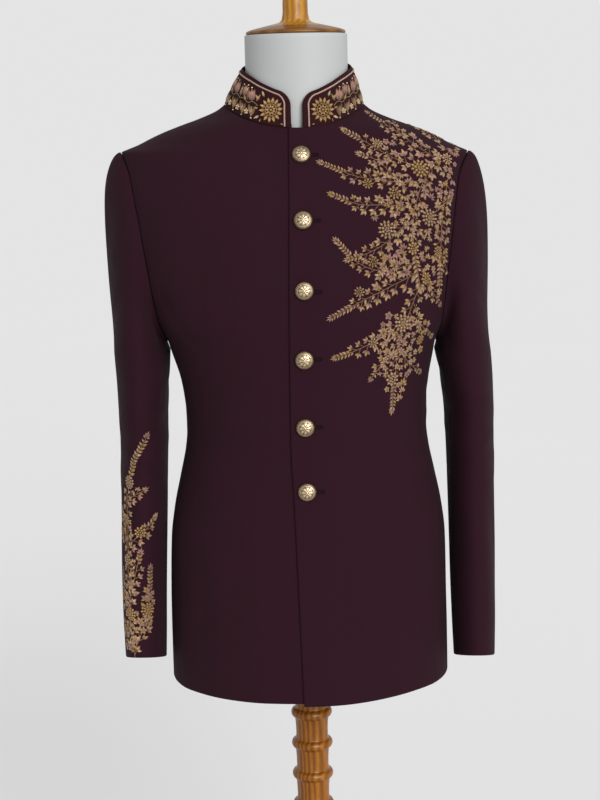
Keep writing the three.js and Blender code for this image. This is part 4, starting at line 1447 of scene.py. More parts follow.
def sleeve_place(across, z):
    """The turn and height of a place so many millimetres round the sleeve from its outer line."""
    turns = np.linspace(-180, 180, 721)
    ring = tube_point(turns, np.full(turns.shape, 150.0))
    round_run = run_lengths(ring[None], 1)[0]
    turn = np.interp(across, round_run - np.interp(0, turns, round_run), turns)
    height = np.array(z, dtype=float)
    for _ in range(5):
        height = height + z - sleeve_spot(turn, height)[..., 2]
    return turn, height


# ---- embroidery motifs ------------------------------------------------------------------------------------

# Each motif is a small raised relief of length 1 along x: points, quads, where the stitches run, and a
# painted shade for each point.


PETAL_COLUMNS = 5
KNOB_SIDES = 8
KNOB_ROWS = 3
CORD_ROWS = 5  # round half a cord


def petal(pointed, ridge, rows, fan):
    """A leaf or petal from its foot (0) to its tip (1), half a unit wide, with a groove along its middle."""
    t, s = np.meshgrid(np.linspace(0, 1, rows), np.linspace(-1, 1, PETAL_COLUMNS), indexing="ij")
    half = 0.5 * np.sin(np.pi * t ** (0.75 + 0.35 * (1 - pointed))) ** (0.55 + 0.4 * pointed)
    dome = np.sqrt(np.clip(1 - s**2, 0, 1)) * np.sin(np.pi * np.clip(t, 0.02, 0.98)) ** 0.35
    groove = 1 - ridge * bell(s, 0.22)
    rise = np.where(np.abs(s) > 0.99, -0.15, dome * groove)
    spots = np.stack([t, s * half, rise], axis=-1).reshape(-1, 3)
    thread_run = np.stack([t - fan * np.abs(s) * half, s * half], axis=-1).reshape(-1, 2)
    # Painted shade: darker at the edges, along the groove and at the foot, with a painted highlight on the
    # crest.
    wear_and_relief_shade = (np.clip(0.16 + 1.0 * rise, 0.12, 1) * (0.5 + 0.6 * ease(t, 0.05, 0.6))).ravel()
    return spots, grid_faces(rows, PETAL_COLUMNS)[:, ::-1], thread_run, wear_and_relief_shade


def knob(radius, height):
    """A small domed bead."""
    angles = np.linspace(0, 2 * np.pi, KNOB_SIDES, endpoint=False)
    rings = []
    for tilt in np.linspace(0, np.pi / 2, KNOB_ROWS + 1)[:-1]:
        reach = radius * math.cos(tilt)
        rings.append(points(reach * np.cos(angles), reach * np.sin(angles), height * math.sin(tilt)))
    spots = np.concatenate([*rings, [[0, 0, height]]])
    faces = grid_faces(KNOB_ROWS, KNOB_SIDES, wrap=True).tolist()
    top, last = KNOB_ROWS * KNOB_SIDES, (KNOB_ROWS - 1) * KNOB_SIDES
    faces += [[last + i, last + (i + 1) % KNOB_SIDES, top, top] for i in range(KNOB_SIDES)]
    # Painted shade at the bead's foot and a painted highlight on its top.
    wear_and_relief_shade = 0.55 + 0.6 * spots[:, 2] / height
    return spots, np.array(faces), spots[:, :2], wear_and_relief_shade


def loop_cord(radius, thick, height, sides):
    """A ring of couched cord."""
    angles = np.linspace(0, 2 * np.pi, sides, endpoint=False)
    section = np.linspace(0, np.pi, CORD_ROWS)
    reach = radius + thick * np.cos(section)[:, None]
    spots = points(reach * np.cos(angles), reach * np.sin(angles), height * np.sin(section)[:, None])
    spots = spots.reshape(-1, 3)
    runs = [[a * radius, thick * k] for k in section for a in angles]
    # Painted shade on the cord's sides and a painted highlight along its crest.
    wear_and_relief_shade = np.repeat(0.45 + 0.6 * np.sin(section), sides)
    return spots, grid_faces(CORD_ROWS, sides, wrap=True), np.array(runs), wear_and_relief_shade


def joined(*motifs):
    """Several motifs as one."""
    count, faces = 0, []
    for spots, more_faces, _, _ in motifs:
        faces.append(np.asarray(more_faces) + count)
        count += len(spots)
    spots, runs, wear_and_relief_shade = (np.concatenate([motif[k] for motif in motifs]) for k in (0, 2, 3))
    return spots, np.concatenate(faces), runs, wear_and_relief_shade


def turned(motif, angle, length, width, start, rise=0.0, swell=1.0):
    """A motif scaled, moved out from the centre and turned about it."""
    spots, faces, runs, wear_and_relief_shade = motif
    x, y = start + spots[:, 0] * length, spots[:, 1] * width
    c, s = math.cos(angle), math.sin(angle)
    made = np.stack([x * c - y * s, x * s + y * c, rise + spots[:, 2] * swell], axis=-1)
    return made, faces, runs * length, wear_and_relief_shade


def ring_of(motif, count, length, width, start, rise=0.0, shift=0.0):
    """A ring of equal motifs round a flower's centre."""
    turns = (np.arange(count) + shift) * 2 * np.pi / count
    return [turned(motif, angle, length, width, start, rise) for angle in turns]


SLIM_LEAF = petal(pointed=1.0, ridge=0.3, rows=8, fan=0.6)
ROUND_PETAL = petal(pointed=0.1, ridge=0.3, rows=6, fan=0.3)
BEAD = knob(0.5, 0.5)
# Flowers are one unit across.
STAR_FLOWER = joined(*ring_of(SLIM_LEAF, 5, 0.46, 0.44, 0.06), knob(0.1, 0.8))
ROSETTE = joined(
    *ring_of(SLIM_LEAF, 9, 0.3, 0.24, 0.22),
    *ring_of(ROUND_PETAL, 6, 0.17, 0.2, 0.09, rise=0.3, shift=0.5),
    knob(0.06, 1.1),
)
ROSE = joined(
    *ring_of(SLIM_LEAF, 12, 0.24, 0.19, 0.29),
    *ring_of(SLIM_LEAF, 8, 0.2, 0.2, 0.14, rise=0.2, shift=0.5),
    *ring_of(ROUND_PETAL, 5, 0.11, 0.15, 0.04, rise=0.5),
    knob(0.04, 1.4),
)
TULIP = joined(
    turned(SLIM_LEAF, 0.46, 0.95, 0.62, 0.02),
    turned(SLIM_LEAF, -0.46, 0.95, 0.62, 0.02),
    turned(SLIM_LEAF, 0.0, 1.0, 0.5, 0.0, 0.25, 1.1),
)
FAN = joined(
    *[turned(SLIM_LEAF, angle, 1 - 0.2 * abs(angle), 0.36, 0.04) for angle in (-1.25, 1.25, -0.62, 0.62)],
    turned(SLIM_LEAF, 0.0, 1.0, 0.42, 0.06, 0.15),
)
MEDALLION = joined(
    *ring_of(SLIM_LEAF, 14, 0.27, 0.17, 0.24),
    loop_cord(0.235, 0.02, 0.8, 28),
    *ring_of(SLIM_LEAF, 9, 0.16, 0.12, 0.06, rise=0.1, shift=0.5),
    knob(0.05, 1.3),
)
MOTIFS = {
    "leaf": SLIM_LEAF,
    "fan": FAN,
    "star": STAR_FLOWER,
    "rosette": ROSETTE,
    "rose": ROSE,
    "tulip": TULIP,
    "medallion": MEDALLION,
    "bead": BEAD,
}

# Albedo of the threads, in screen values.
TONES = {
    "gold": (190, 150, 98),
    "beige": (196, 158, 122),
    "rosy": (182, 138, 120),
    "antique": (146, 110, 74),
    "pale": (226, 200, 160),
    "olive": (148, 124, 72),
}


# The share of its size that a motif keeps free of others.
FLOWER_KEEP = 0.46
FILL_KEEP = 0.36
LEAF_KEEP = 0.19
FULL_TURN = 6.28
LEAF_ANGLE = 0.8  # between a sprig's stem and its leaves
LEAF_WIDTH = 0.56
LEAF_HEIGHT = 1.15
SPRIG_STEM = 0.5  # the cords' radii
TWIG_STEM = 0.4
TWIG_REACH = 0.9  # of a leaf's length: a twig's own stem
TWIG_UNTIL = 0.72  # of a sprig's run; past it leaves sit on the stem
TWIG_SIDE_ANGLE = 0.85
TWIG_SIDE_SIZE = 0.84
STAR_SHARE = 0.25  # of the fillers; the rest are fans of leaves
FILL_HEIGHT = 1.1
BEAD_EVERY = 11
BEAD_SIZE = 1.4
BEAD_HEIGHT = 1.05


def at_reach(x, y, way, reach):
    """The place that far from x, y."""
    return x + reach * math.cos(way), y + reach * math.sin(way)


class Needlework:
    """The motifs sewn on one surface, gathered before they are made into a single mesh."""

    def __init__(self, spot, place, seed):
        self.spot = spot
        self.place = place
        self.chance = np.random.default_rng(seed)
        self.motifs = []
        self.cords = []
        self.taken = []

    def free(self, x, y, gap):
        return all((x - a) ** 2 + (y - b) ** 2 > (gap + r) ** 2 for a, b, r in self.taken)

    def sew(self, kind, x, y, angle, length, width, height, tone, keep=None):
        """One motif: its foot (or centre) in the layout, its direction, size, thread and free space."""
        wide = length if width is None else width
        self.motifs.append((kind, x, y, angle, length, wide, height, tone))
        if keep is not None:
            self.taken.append((x, y, keep))

    def pick(self, *names):
        return names[int(self.chance.integers(len(names)))]

    def stem(self, path, thick, tone):
        self.cords.append((curve_through(path), thick, tone))

    def sprig(self, path, first, last, tones):
        """A stem with pairs of leaf clusters that shorten to single leaves towards its tip."""
        line = curve_through(path)
        self.cords.append((line, SPRIG_STEM, "antique"))
        run = run_lengths(line[None], 1)[0]
        at, pair = first * 0.4, 0
        while at < run[-1] - last * 0.4:
            share = at / run[-1]
            length = mix(first, last, share) * (0.88 + 0.24 * self.chance.random())
            x, y = (np.interp(at, run, line[:, k]) for k in (0, 1))
            ahead = [np.interp(min(at + 1, run[-1]), run, line[:, k]) for k in (0, 1)]
            heading = math.atan2(ahead[1] - y, ahead[0] - x)
            for sign in (-1, 1):
                way = heading + sign * (LEAF_ANGLE + 0.3 * (self.chance.random() - 0.5))
                reach = TWIG_REACH * length if share < TWIG_UNTIL and (pair + (sign > 0)) % 2 == 0 else 0.0
                self.twig(x, y, way, reach, length, tones)
            at += length * 0.7
            pair += 1
        end, before = line[-1], line[-3]
        heading = math.atan2(end[1] - before[1], end[0] - before[0])
        self.sew("fan", *end, heading, last * 1.5, last * 1.15, 1.1, self.pick(*tones))

    def twig(self, x, y, way, reach, length, tones):
        """A leaf on its own, or three at the end of a short stem, where the cloth is still bare."""
        foot = at_reach(x, y, way, reach)
        turns = (0.0, TWIG_SIDE_ANGLE, -TWIG_SIDE_ANGLE) if reach else (0.0,)
        for turn in turns:
            size = length * (1.0 if turn == 0 else TWIG_SIDE_SIZE)
            middle = at_reach(*foot, way + turn, 0.6 * size)
            if self.free(*middle, size * LEAF_KEEP):
                width = size * LEAF_WIDTH
                self.sew("leaf", *foot, way + turn, size, width, LEAF_HEIGHT, self.pick(*tones))
                self.taken.append((*middle, size * LEAF_KEEP))
        if reach:
            self.cords.append((np.linspace((x, y), foot, 5), TWIG_STEM, "antique"))

    def fill(self, outline, sizes, tries):
        """Small flowers and sprays of leaves over what is still bare inside an outline."""
        low, high = np.min(outline, axis=0), np.max(outline, axis=0)
        for _ in range(tries):
            x, y = low + (high - low) * self.chance.random(2)
            size = mix(*sizes, self.chance.random())
            keep = size * FILL_KEEP
            if not inside(outline, x, y) or not self.free(x, y, keep):
                continue
            angle = self.chance.random() * 2 * math.pi
            tone = self.pick("gold", "beige", "rosy", "beige")
            if self.chance.random() < STAR_SHARE:
                self.sew("star", x, y, angle, size, None, FILL_HEIGHT, tone, keep)
            else:
                foot = at_reach(x, y, angle, -0.42 * size)
                self.sew("fan", *foot, angle, size * 0.9, size * 0.84, 1.0, tone)
                self.taken.append((x, y, keep))

    def beads(self):
        """A bead beside every so many motifs, where that one is a leaf."""
        for kind, x, y, angle, length, _, _, _ in list(self.motifs)[::BEAD_EVERY]:
            if kind == "leaf":
                beside = at_reach(x, y, angle + 1.6, 0.5 * length)
                self.sew("bead", *beside, 0.0, BEAD_SIZE, None, BEAD_HEIGHT, "pale")

    def cover(self, flowers, sprigs, fields, height, tones, sizes, tries):
        """A whole layout: its flowers, then the sprigs round them, small fillers between and beads."""
        for kind, x, y, size in flowers:
            tone = self.pick("gold", "beige")
            angle = self.chance.random() * FULL_TURN
            self.sew(kind, x, y, angle, size, None, height, tone, size * FLOWER_KEEP)
        for first, last, path in sprigs:
            self.sprig(path, first, last, tones)
        for outline in fields:
            self.fill(outline, sizes, tries)
        self.beads()

    def make(self, name, keep_inside):
        """One mesh of all that is sewn: the motifs, kind by kind, and then the cords."""
        sewn = []
        for kind in MOTIFS:
            chosen = [motif for motif in self.motifs if motif[0] == kind]
            if chosen:
                sewn += self.lay(kind, chosen, keep_inside)
        sewn += [self.couch(*cord) for cord in self.cords]
        spots, quads, runs, tones = joined(*sewn)
        listed = [quad[:3] if quad[2] == quad[3] else quad for quad in quads.tolist()]
        return mesh_object(name, spots, listed, runs, tones, smooth_angle=60)

    def lay(self, kind, chosen, keep_inside):
        """Every motif of a kind, laid on the surface by its own tangents."""
        x, y, angle, length, width, height = np.array([motif[1:7] for motif in chosen], dtype=float).T
        a, b = self.place(x, y)
        a2, b2 = self.place(x + 0.6 * np.cos(angle), y + 0.6 * np.sin(angle))
        tip_a, tip_b = self.place(x + length * np.cos(angle), y + length * np.sin(angle))
        kept = keep_inside(a, b) & keep_inside(tip_a, tip_b)
        along_a, along_b, first, second, _ = tangents(self.spot, a, b)
        way = self.spot(a2, b2) - self.spot(a, b)
        heading = np.arctan2(dot(way, second), dot(way, first))
        template, quads, thread_run, wear_and_relief_shade = MOTIFS[kind]
        c, s = np.cos(heading)[:, None], np.sin(heading)[:, None]
        px, py = template[None, :, 0] * length[:, None], template[None, :, 1] * width[:, None]
        across, upward = px * c - py * s, px * s + py * c
        step_b = upward / dot(along_b, second)[:, None]
        step_a = (across - dot(along_b, first)[:, None] * step_b) / dot(along_a, first)[:, None]
        lift = template[None, :, 2] * height[:, None]
        laid = self.spot(a[:, None] + step_a, b[:, None] + step_b, lift)
        made = []
        for i in np.flatnonzero(kept):
            shade = 0.86 + 0.3 * self.chance.random()
            tone = np.array(linear(*TONES[chosen[i][7]])) * shade
            size = np.array([length[i], width[i]])
            # Each point's thread colour times its painted relief shade.
            made.append((laid[i], quads, thread_run * size, wear_and_relief_shade[:, None] * tone))
        return made

    def couch(self, line, thick, tone):
        """A half-round cord along a line of the layout."""
        a, b = self.place(line[:, 0], line[:, 1])
        centre = self.spot(a, b)
        out = unit(self.spot(a, b, 1.0) - centre)
        ahead = unit(np.gradient(centre, axis=0))
        side = np.cross(out, ahead)
        section = np.linspace(-0.15, np.pi + 0.15, CORD_ROWS)
        rings = [centre + side * thick * math.cos(k) + out * thick * 0.9 * math.sin(k) for k in section]
        run = run_lengths(centre[None], 1)[0]
        runs = [np.stack([run + thick * k, 0 * run], axis=-1) for k in section]
        faces = grid_faces(CORD_ROWS, len(line))[:, ::-1]
        tones = np.tile(linear(*TONES[tone]), (CORD_ROWS * len(line), 1))
        return np.concatenate(rings), faces, np.concatenate(runs), tones


CORD_STEP = 1.6


def curve_through(path):
    """A smooth line through a few given points, resampled evenly."""
    spots = np.array(path, dtype=float)
    ends = np.concatenate([[2 * spots[0] - spots[1]], spots, [2 * spots[-1] - spots[-2]]])
    made = []
    for a, b, c, d in zip(ends, ends[1:], ends[2:], ends[3:]):
        made += [hermite(b, (c - a) / 2, c, (d - b) / 2, t) for t in np.linspace(0, 1, 12, endpoint=False)]
    made = np.array([*made, spots[-1]])
    run = run_lengths(made[None], 1)[0]
    even = np.linspace(0, run[-1], max(int(run[-1] / CORD_STEP), 4))
    return np.stack([np.interp(even, run, made[:, k]) for k in (0, 1)], axis=-1)


def inside(outline, x, y):
    """Whether a point lies inside a closed outline."""
    crossings = 0
    for (ax, ay), (bx, by) in zip(outline, outline[1:] + outline[:1]):
        if (ay > y) != (by > y) and x < ax + (y - ay) / (by - ay) * (bx - ax):
            crossings += 1
    return crossings % 2 == 1


# ---- embroidery on the chest ------------------------------------------------------------------------------

# The layout is the builder's own: x to the wearer's left of the centre and height above the side hem. A
# flower is its kind, its place and its width; a sprig its leaves' first and last length and its path.
CHEST_FLOWERS = [
    ("rose", 150, 662, 24),
    ("rosette", 117, 634, 18),
    ("rose", 160, 602, 22),
    ("rosette", 138, 566, 17),
    ("rose", 106, 590, 23),
    ("rosette", 154, 528, 16),
    ("rose", 124, 474, 23),
    ("rosette", 110, 404, 19),
    ("rosette", 88, 552, 15),
    ("rosette", 186, 672, 16),
    ("rosette", 84, 646, 14),
    ("rosette", 98, 694, 14),
    ("rosette", 70, 516, 14),
    ("rosette", 86, 452, 14),
    ("rosette", 146, 450, 14),
    ("rosette", 170, 560, 14),
]
CHEST_SPRIGS = [
    (10.0, 8.0, [(196, 684), (174, 672), (154, 646), (140, 606), (140, 560), (146, 520)]),
    (10.0, 7.0, [(190, 664), (182, 628), (176, 590), (174, 552), (172, 512)]),
    (9.5, 6.0, [(146, 520), (134, 490), (120, 452), (114, 410), (109, 366)]),
    (10.0, 5.6, [(168, 676), (140, 696), (112, 716), (90, 731)]),
    (10.0, 5.4, [(150, 664), (118, 676), (88, 694), (58, 711)]),
    (10.5, 5.4, [(146, 646), (112, 648), (70, 656), (28, 672)]),
    (10.5, 5.4, [(134, 616), (104, 620), (72, 622), (40, 634)]),
    (10.0, 5.6, [(128, 594), (104, 574), (80, 562), (58, 556)]),
    (10.5, 5.6, [(140, 548), (104, 540), (72, 550), (44, 578)]),
    (11.0, 5.6, [(144, 536), (108, 520), (72, 504), (36, 486)]),
    (10.0, 5.4, [(122, 474), (98, 458), (66, 444), (40, 436)]),
    (9.5, 5.4, [(128, 480), (146, 470), (162, 452)]),
    (9.0, 5.2, [(118, 440), (134, 420), (146, 408)]),
    (9.0, 5.2, [(116, 440), (98, 424), (84, 408)]),
    (9.5, 5.6, [(160, 604), (174, 612), (188, 624)]),
    (9.5, 5.4, [(168, 566), (178, 548), (184, 530)]),
    (9.5, 5.4, [(150, 528), (164, 508), (172, 494)]),
    (9.5, 5.4, [(180, 690), (172, 702), (154, 714)]),
    (9.5, 5.4, [(132, 700), (124, 712), (120, 722)]),
    (9.5, 5.4, [(118, 650), (100, 672), (76, 682)]),
]
CHEST_FIELDS = [
    [(104, 704), (150, 716), (192, 700), (206, 682), (188, 640), (182, 580), (178, 512), (156, 500)]
    + [(132, 530), (92, 520), (84, 560), (120, 580), (90, 604), (104, 640), (84, 664)],
    [(104, 486), (150, 486), (158, 452), (134, 414), (118, 380), (104, 384), (92, 430), (80, 452)],
]
CHEST_SEED = 11
# The flowers' height, the sprigs' threads, the fillers' least and greatest size, and how often one is tried.
CHEST_STYLE = dict(height=1.9, tones=("gold", "beige", "rosy", "beige"), sizes=(7.0, 12.0), tries=2600)
SEAM_CLEAR = 1.2  # between the embroidery and the left front's seams


def front_limits():
    """A test of whether a place lies on the left front, off its seams."""
    turns, heights = outer_edge(-1, np.linspace(0, 1, 400))

    def on_panel(turn, height):
        edge = np.interp(height, heights, turns)
        clear = np.radians(edge - turn) * SECTIONS["half"](height) > SEAM_CLEAR
        return clear & (height < neckline(turn) - SEAM_CLEAR)

    return on_panel


def sew_chest():
    work = Needlework(front_spot, front_place, CHEST_SEED)
    work.cover(CHEST_FLOWERS, CHEST_SPRIGS, CHEST_FIELDS, **CHEST_STYLE)
    return work.make("embroidery_chest", front_limits())


# ---- embroidery on the right forearm ----------------------------------------------------------------------

# Across is the way round the sleeve from its outer line towards the front, in millimetres.
SLEEVE_FLOWERS = [
    ("rose", 60, 100, 18),
    ("rosette", 54, 170, 16),
    ("rose", 60, 272, 18),
    ("rose", 86, 106, 19),
    ("rosette", 76, 208, 16),
    ("rosette", 78, 62, 14),
    ("rosette", 52, 222, 14),
    ("rosette", 36, 120, 14),
    ("rosette", 34, 204, 13),
]
SLEEVE_SPRIGS = [
    (9.5, 6.4, [(64, 42), (58, 90), (60, 130), (54, 178), (53, 222), (58, 262), (68, 298), (84, 330)]),
    (9.5, 6.0, [(64, 50), (76, 76), (88, 112), (90, 158)]),
    (9.0, 6.0, [(60, 122), (68, 146), (76, 180)]),
    (9.5, 6.0, [(54, 186), (68, 198), (80, 208), (96, 224)]),
    (9.0, 5.6, [(56, 246), (66, 254), (80, 262)]),
    (9.0, 5.6, [(56, 96), (42, 116), (34, 150)]),
    (9.0, 5.6, [(52, 184), (42, 200), (36, 230)]),
    (9.0, 5.6, [(60, 52), (46, 62), (38, 84)]),
]
SLEEVE_FIELDS = [
    [(50, 52), (80, 52), (92, 90), (92, 140), (80, 140)]
    + [(74, 100), (64, 110), (60, 150), (48, 150), (46, 100)],
]
SLEEVE_SEED = 23
SLEEVE_STYLE = dict(height=1.7, tones=("gold", "beige", "rosy"), sizes=(7.0, 11.0), tries=700)
SLEEVE_CLEAR = 6  # between the embroidery and the cuff, in millimetres, and the seams, in degrees


def sleeve_limits(turn, height):
    return (height > CUFF + SLEEVE_CLEAR) & (np.abs(signed(turn)) < FRONT_ARM_SEAM - SLEEVE_CLEAR)


def sew_sleeve():
    work = Needlework(sleeve_spot, sleeve_place, SLEEVE_SEED)
    work.cover(SLEEVE_FLOWERS, SLEEVE_SPRIGS, SLEEVE_FIELDS, **SLEEVE_STYLE)
    return work.make("embroidery_sleeve", sleeve_limits)


# ---- embroidery and piping on the collar ------------------------------------------------------------------

PIPING_DOWN = 5.4  # from the collar's top edge
PIPING_IN = 8.4  # from its front ends
PIPING_CORNER = 11.0
PIPING_RADIUS = 1.0
PIPING_FOOT = 0.4  # over the collar's seam
PIPING_SINK = 0.45  # of its radius over the cloth
COLLAR_SEED = 31
MEDALLION_PLACE = (28.5, 18.6, 0.3)  # its turn, rise and direction
MEDALLION_SIZE = 31.0
MEDALLION_HEIGHT = 1.8
COLLAR_LEAF_WIDTH = 0.42
COLLAR_LEAF_HEIGHT = 0.8
VINE_START = 44.5
VINE_UNIT = 23.0
VINE_COUNT = 6
VINE_WIDTH = {"leaf": 0.34, "tulip": 0.66}
# The leaves round a medallion: turn, rise, direction in radians and length.
COLLAR_LEAVES = [
    (19.0, 3.5, -2.8, 4.5),
    (39.0, 5.5, -1.3, 5.0),
    (40.5, 8.5, -0.7, 9.0),
    (42.0, 17.0, 0.0, 7.0),
    (41.5, 28.0, 0.7, 9.5),
    (36.5, 33.0, 1.1, 8.5),
    (30.0, 34.5, 1.5, 6.5),
]
# One unit of the vine: a motif, its turn from the unit's start, its share of the height inside the piping,
# its direction, its length and its thread.
VINE = [
    ("tulip", 5.0, 0.52, 80, 17.0, "rosy"),
    ("tulip", 16.5, 0.56, 98, 15.0, "rosy"),
    ("leaf", 0.6, 0.44, -72, 17.0, "antique"),
    ("leaf", 4.8, 0.4, -88, 11.5, "gold"),
    ("leaf", 8.6, 0.42, -104, 16.0, "antique"),
    ("leaf", 12.4, 0.4, -76, 16.0, "antique"),
    ("leaf", 16.0, 0.38, -90, 11.5, "rosy"),
    ("leaf", 20.0, 0.42, -104, 16.5, "antique"),
    ("leaf", 10.6, 0.5, 86, 15.0, "antique"),
    ("leaf", 12.2, 0.46, 58, 10.0, "gold"),
    ("leaf", 21.4, 0.5, 90, 14.0, "beige"),
    ("leaf", 0.4, 0.56, 112, 11.0, "gold"),
    ("star", 10.6, 0.2, 0, 8.0, "pale"),
    ("star", 22.4, 0.2, 20, 8.0, "pale"),
    ("bead", 8.2, 0.86, 0, 2.4, "pale"),
    ("bead", 13.6, 0.88, 0, 2.2, "pale"),
    ("bead", 20.0, 0.84, 0, 2.4, "pale"),
    ("bead", 5.0, 0.06, 0, 2.2, "pale"),
    ("bead", 16.4, 0.06, 0, 2.2, "pale"),
]
VINE_STEM = [(-2, 0.46), (4, 0.52), (10, 0.44), (16, 0.5), (22, 0.46)]


def collar_place(turn, rise):
    return np.asarray(turn, dtype=float) % 360, np.asarray(rise, dtype=float)


def collar_limits(turn, rise):
    return (rise > 0.6) & (rise < collar_height(turn) - PIPING_DOWN - 0.8)


def sew_on_side(work, side, kind, turn, rise, angle, *rest):
    """A motif of the collar, mirrored on the other side. A degree is 1.2 mm, close to a step of rise."""
    work.sew(kind, side * turn, rise, angle if side > 0 else math.pi - angle, *rest)


def under_piping(turn):
    """The collar's height at a turn, up to its piping."""
    return float(collar_height(np.array(turn))) - PIPING_DOWN


def sew_vine(work, side, start):
    """One unit of the vine, from a turn of the collar on."""
    for kind, turn, share, angle, length, tone in VINE:
        rise = share * under_piping(start + turn)
        wide = length * VINE_WIDTH.get(kind, 1.0)
        sew_on_side(work, side, kind, start + turn, rise, math.radians(angle), length, wide, 1.0, tone)
    turns = [start + turn for turn, _ in VINE_STEM]
    line = [(side * turn, share * under_piping(turn)) for turn, (_, share) in zip(turns, VINE_STEM)]
    work.stem(line, SPRIG_STEM, "olive")


def sew_collar():
    """A round medallion behind each front end, and a vine with tulips running on round the neck."""
    work = Needlework(collar_spot, collar_place, COLLAR_SEED)
    for side in (1, -1):
        size = (MEDALLION_SIZE, None, MEDALLION_HEIGHT)
        sew_on_side(work, side, "medallion", *MEDALLION_PLACE, *size, "gold")
        for i, (turn, rise, angle, length) in enumerate(COLLAR_LEAVES):
            tone = ("beige", "gold", "pale")[i % 3]
            size = (length, length * COLLAR_LEAF_WIDTH, COLLAR_LEAF_HEIGHT)
            sew_on_side(work, side, "leaf", turn, rise, angle, *size, tone)
        for index in range(VINE_COUNT):
            sew_vine(work, side, VINE_START + index * VINE_UNIT)
    return work.make("embroidery_collar", collar_limits)


def piping_end(end):
    """The piping's turn and rise up one front end of the collar and round its corner."""
    climb = [(0.0, low) for low in np.linspace(1, 0, 14)]
    corner = [(math.radians(angle), 0.0) for angle in np.linspace(0, 90, 12)[1:]]
    line = []
    for angle, low in climb + corner:
        aside = end + PIPING_IN + PIPING_CORNER * (1 - math.cos(angle))
        turn = math.degrees(math.atan2(aside, COLLAR_DEPTH + 4))
        rise = under_piping(turn) - PIPING_CORNER * (1 - math.sin(angle))
        line.append((turn, mix(rise, PIPING_FOOT, low)))
    return line


def piping_path():
    """The piping's line on the collar: up one front end, round its corner, along the top and down again."""
    left, right = piping_end(COLLAR_END_LEFT), piping_end(COLLAR_END_RIGHT)
    turns = np.linspace(left[-1][0], 360 - right[-1][0], 150)[1:-1]
    tops = [(turn, under_piping(turn)) for turn in turns]
    return np.array(left + tops + [(360 - turn, rise) for turn, rise in right[::-1]])


def make_piping():
    line = piping_path()
    turn, rise = line[:, 0], line[:, 1]
    centre = collar_spot(turn, rise, PIPING_RADIUS * PIPING_SINK)
    out = unit(collar_spot(turn, rise, 1.0) - collar_spot(turn, rise))
    spots, faces, runs = swept(centre, out, PIPING_RADIUS, 10)
    tones = np.tile(linear(172, 142, 128), (len(spots), 1))
    return mesh_object("collar_piping", spots, faces, runs, tones, smooth_angle=60)


def swept(centre, out, radius, sides, closed=False):
    """A round cord along a line of points, with lids at open ends."""
    if closed:
        ahead = unit(np.roll(centre, -1, axis=0) - np.roll(centre, 1, axis=0))
    else:
        ahead = unit(np.gradient(centre, axis=0))
    side = np.cross(out, ahead)
    angles = np.linspace(0, 2 * np.pi, sides, endpoint=False)
    ring = side[:, None] * np.cos(angles)[None, :, None] + out[:, None] * np.sin(angles)[None, :, None]
    spots = centre[:, None] + ring * radius
    count = len(centre)
    run = run_lengths(centre[None], 1)[0]
    runs = np.stack([run[:, None] + radius * angles[None], 0 * run[:, None] + 0 * angles[None]], axis=-1)
    faces = grid_faces(count, sides, wrap=True).tolist()
    if closed:
        last = (count - 1) * sides
        faces += [[last + i, last + (i + 1) % sides, (i + 1) % sides, i] for i in range(sides)]
    else:
        faces += lids(count, sides)
    return spots.reshape(-1, 3), faces, runs.reshape(-1, 2)


# ---- buttons and buttonholes ------------------------------------------------------------------------------


def button_seat(height, across):
    """The place of a button on the left front, and the turn from a lathe's axis to the way out."""
    turn = np.array(turn_at_x(across, SECTIONS["front"](height)))
    way = body_normal(turn, np.array(height))
    level = height
    for _ in range(4):
        spot = front_spot(turn, np.array(level))
        level += height - (spot[2] + SHOULDER_TILT * across) if height > UNDERARM else 0
        turn = turn + np.degrees((across - spot[0]) / SECTIONS["front"](height))
    x, y, z = way
    axis = unit(np.array([z, 0.0, -x]))
    angle = math.acos(max(min(y, 1.0), -1.0))
    return front_spot(turn, np.array(level)), axis, angle


def seated(spots, seat):
    """Points of a lathe about +Y, turned onto the seat."""
    place, axis, angle = seat
    c, s = math.cos(angle), math.sin(angle)
    spin = np.cross(np.broadcast_to(axis, spots.shape), spots)
    along = np.outer(spots @ axis, axis)
    return spots * c + spin * s + along * (1 - c) + place


BUTTON_SIDES = 96
BUTTON_EMBOSS = 0.75
PETALS = 8
INNER_PETALS = 6
RING_BEADS = 36


def button_relief(r, angle):
    """The embossing: a plain eight-petalled flower in a beaded ring, on the button's dome."""
    share = r / BUTTON_RADIUS
    petals = bell(share - 0.42, 0.17) * np.abs(np.cos(PETALS / 2 * angle)) ** 0.7
    inner = bell(share - 0.2, 0.07) * (0.5 + 0.5 * np.cos(INNER_PETALS * angle))
    boss = bell(share, 0.1)
    ring = bell(share - 0.7, 0.035)
    beads = bell(share - 0.82, 0.05) * (0.5 + 0.5 * np.cos(RING_BEADS * angle))
    return 0.5 * petals + 0.35 * inner + 0.5 * boss + 0.35 * ring + 0.4 * beads


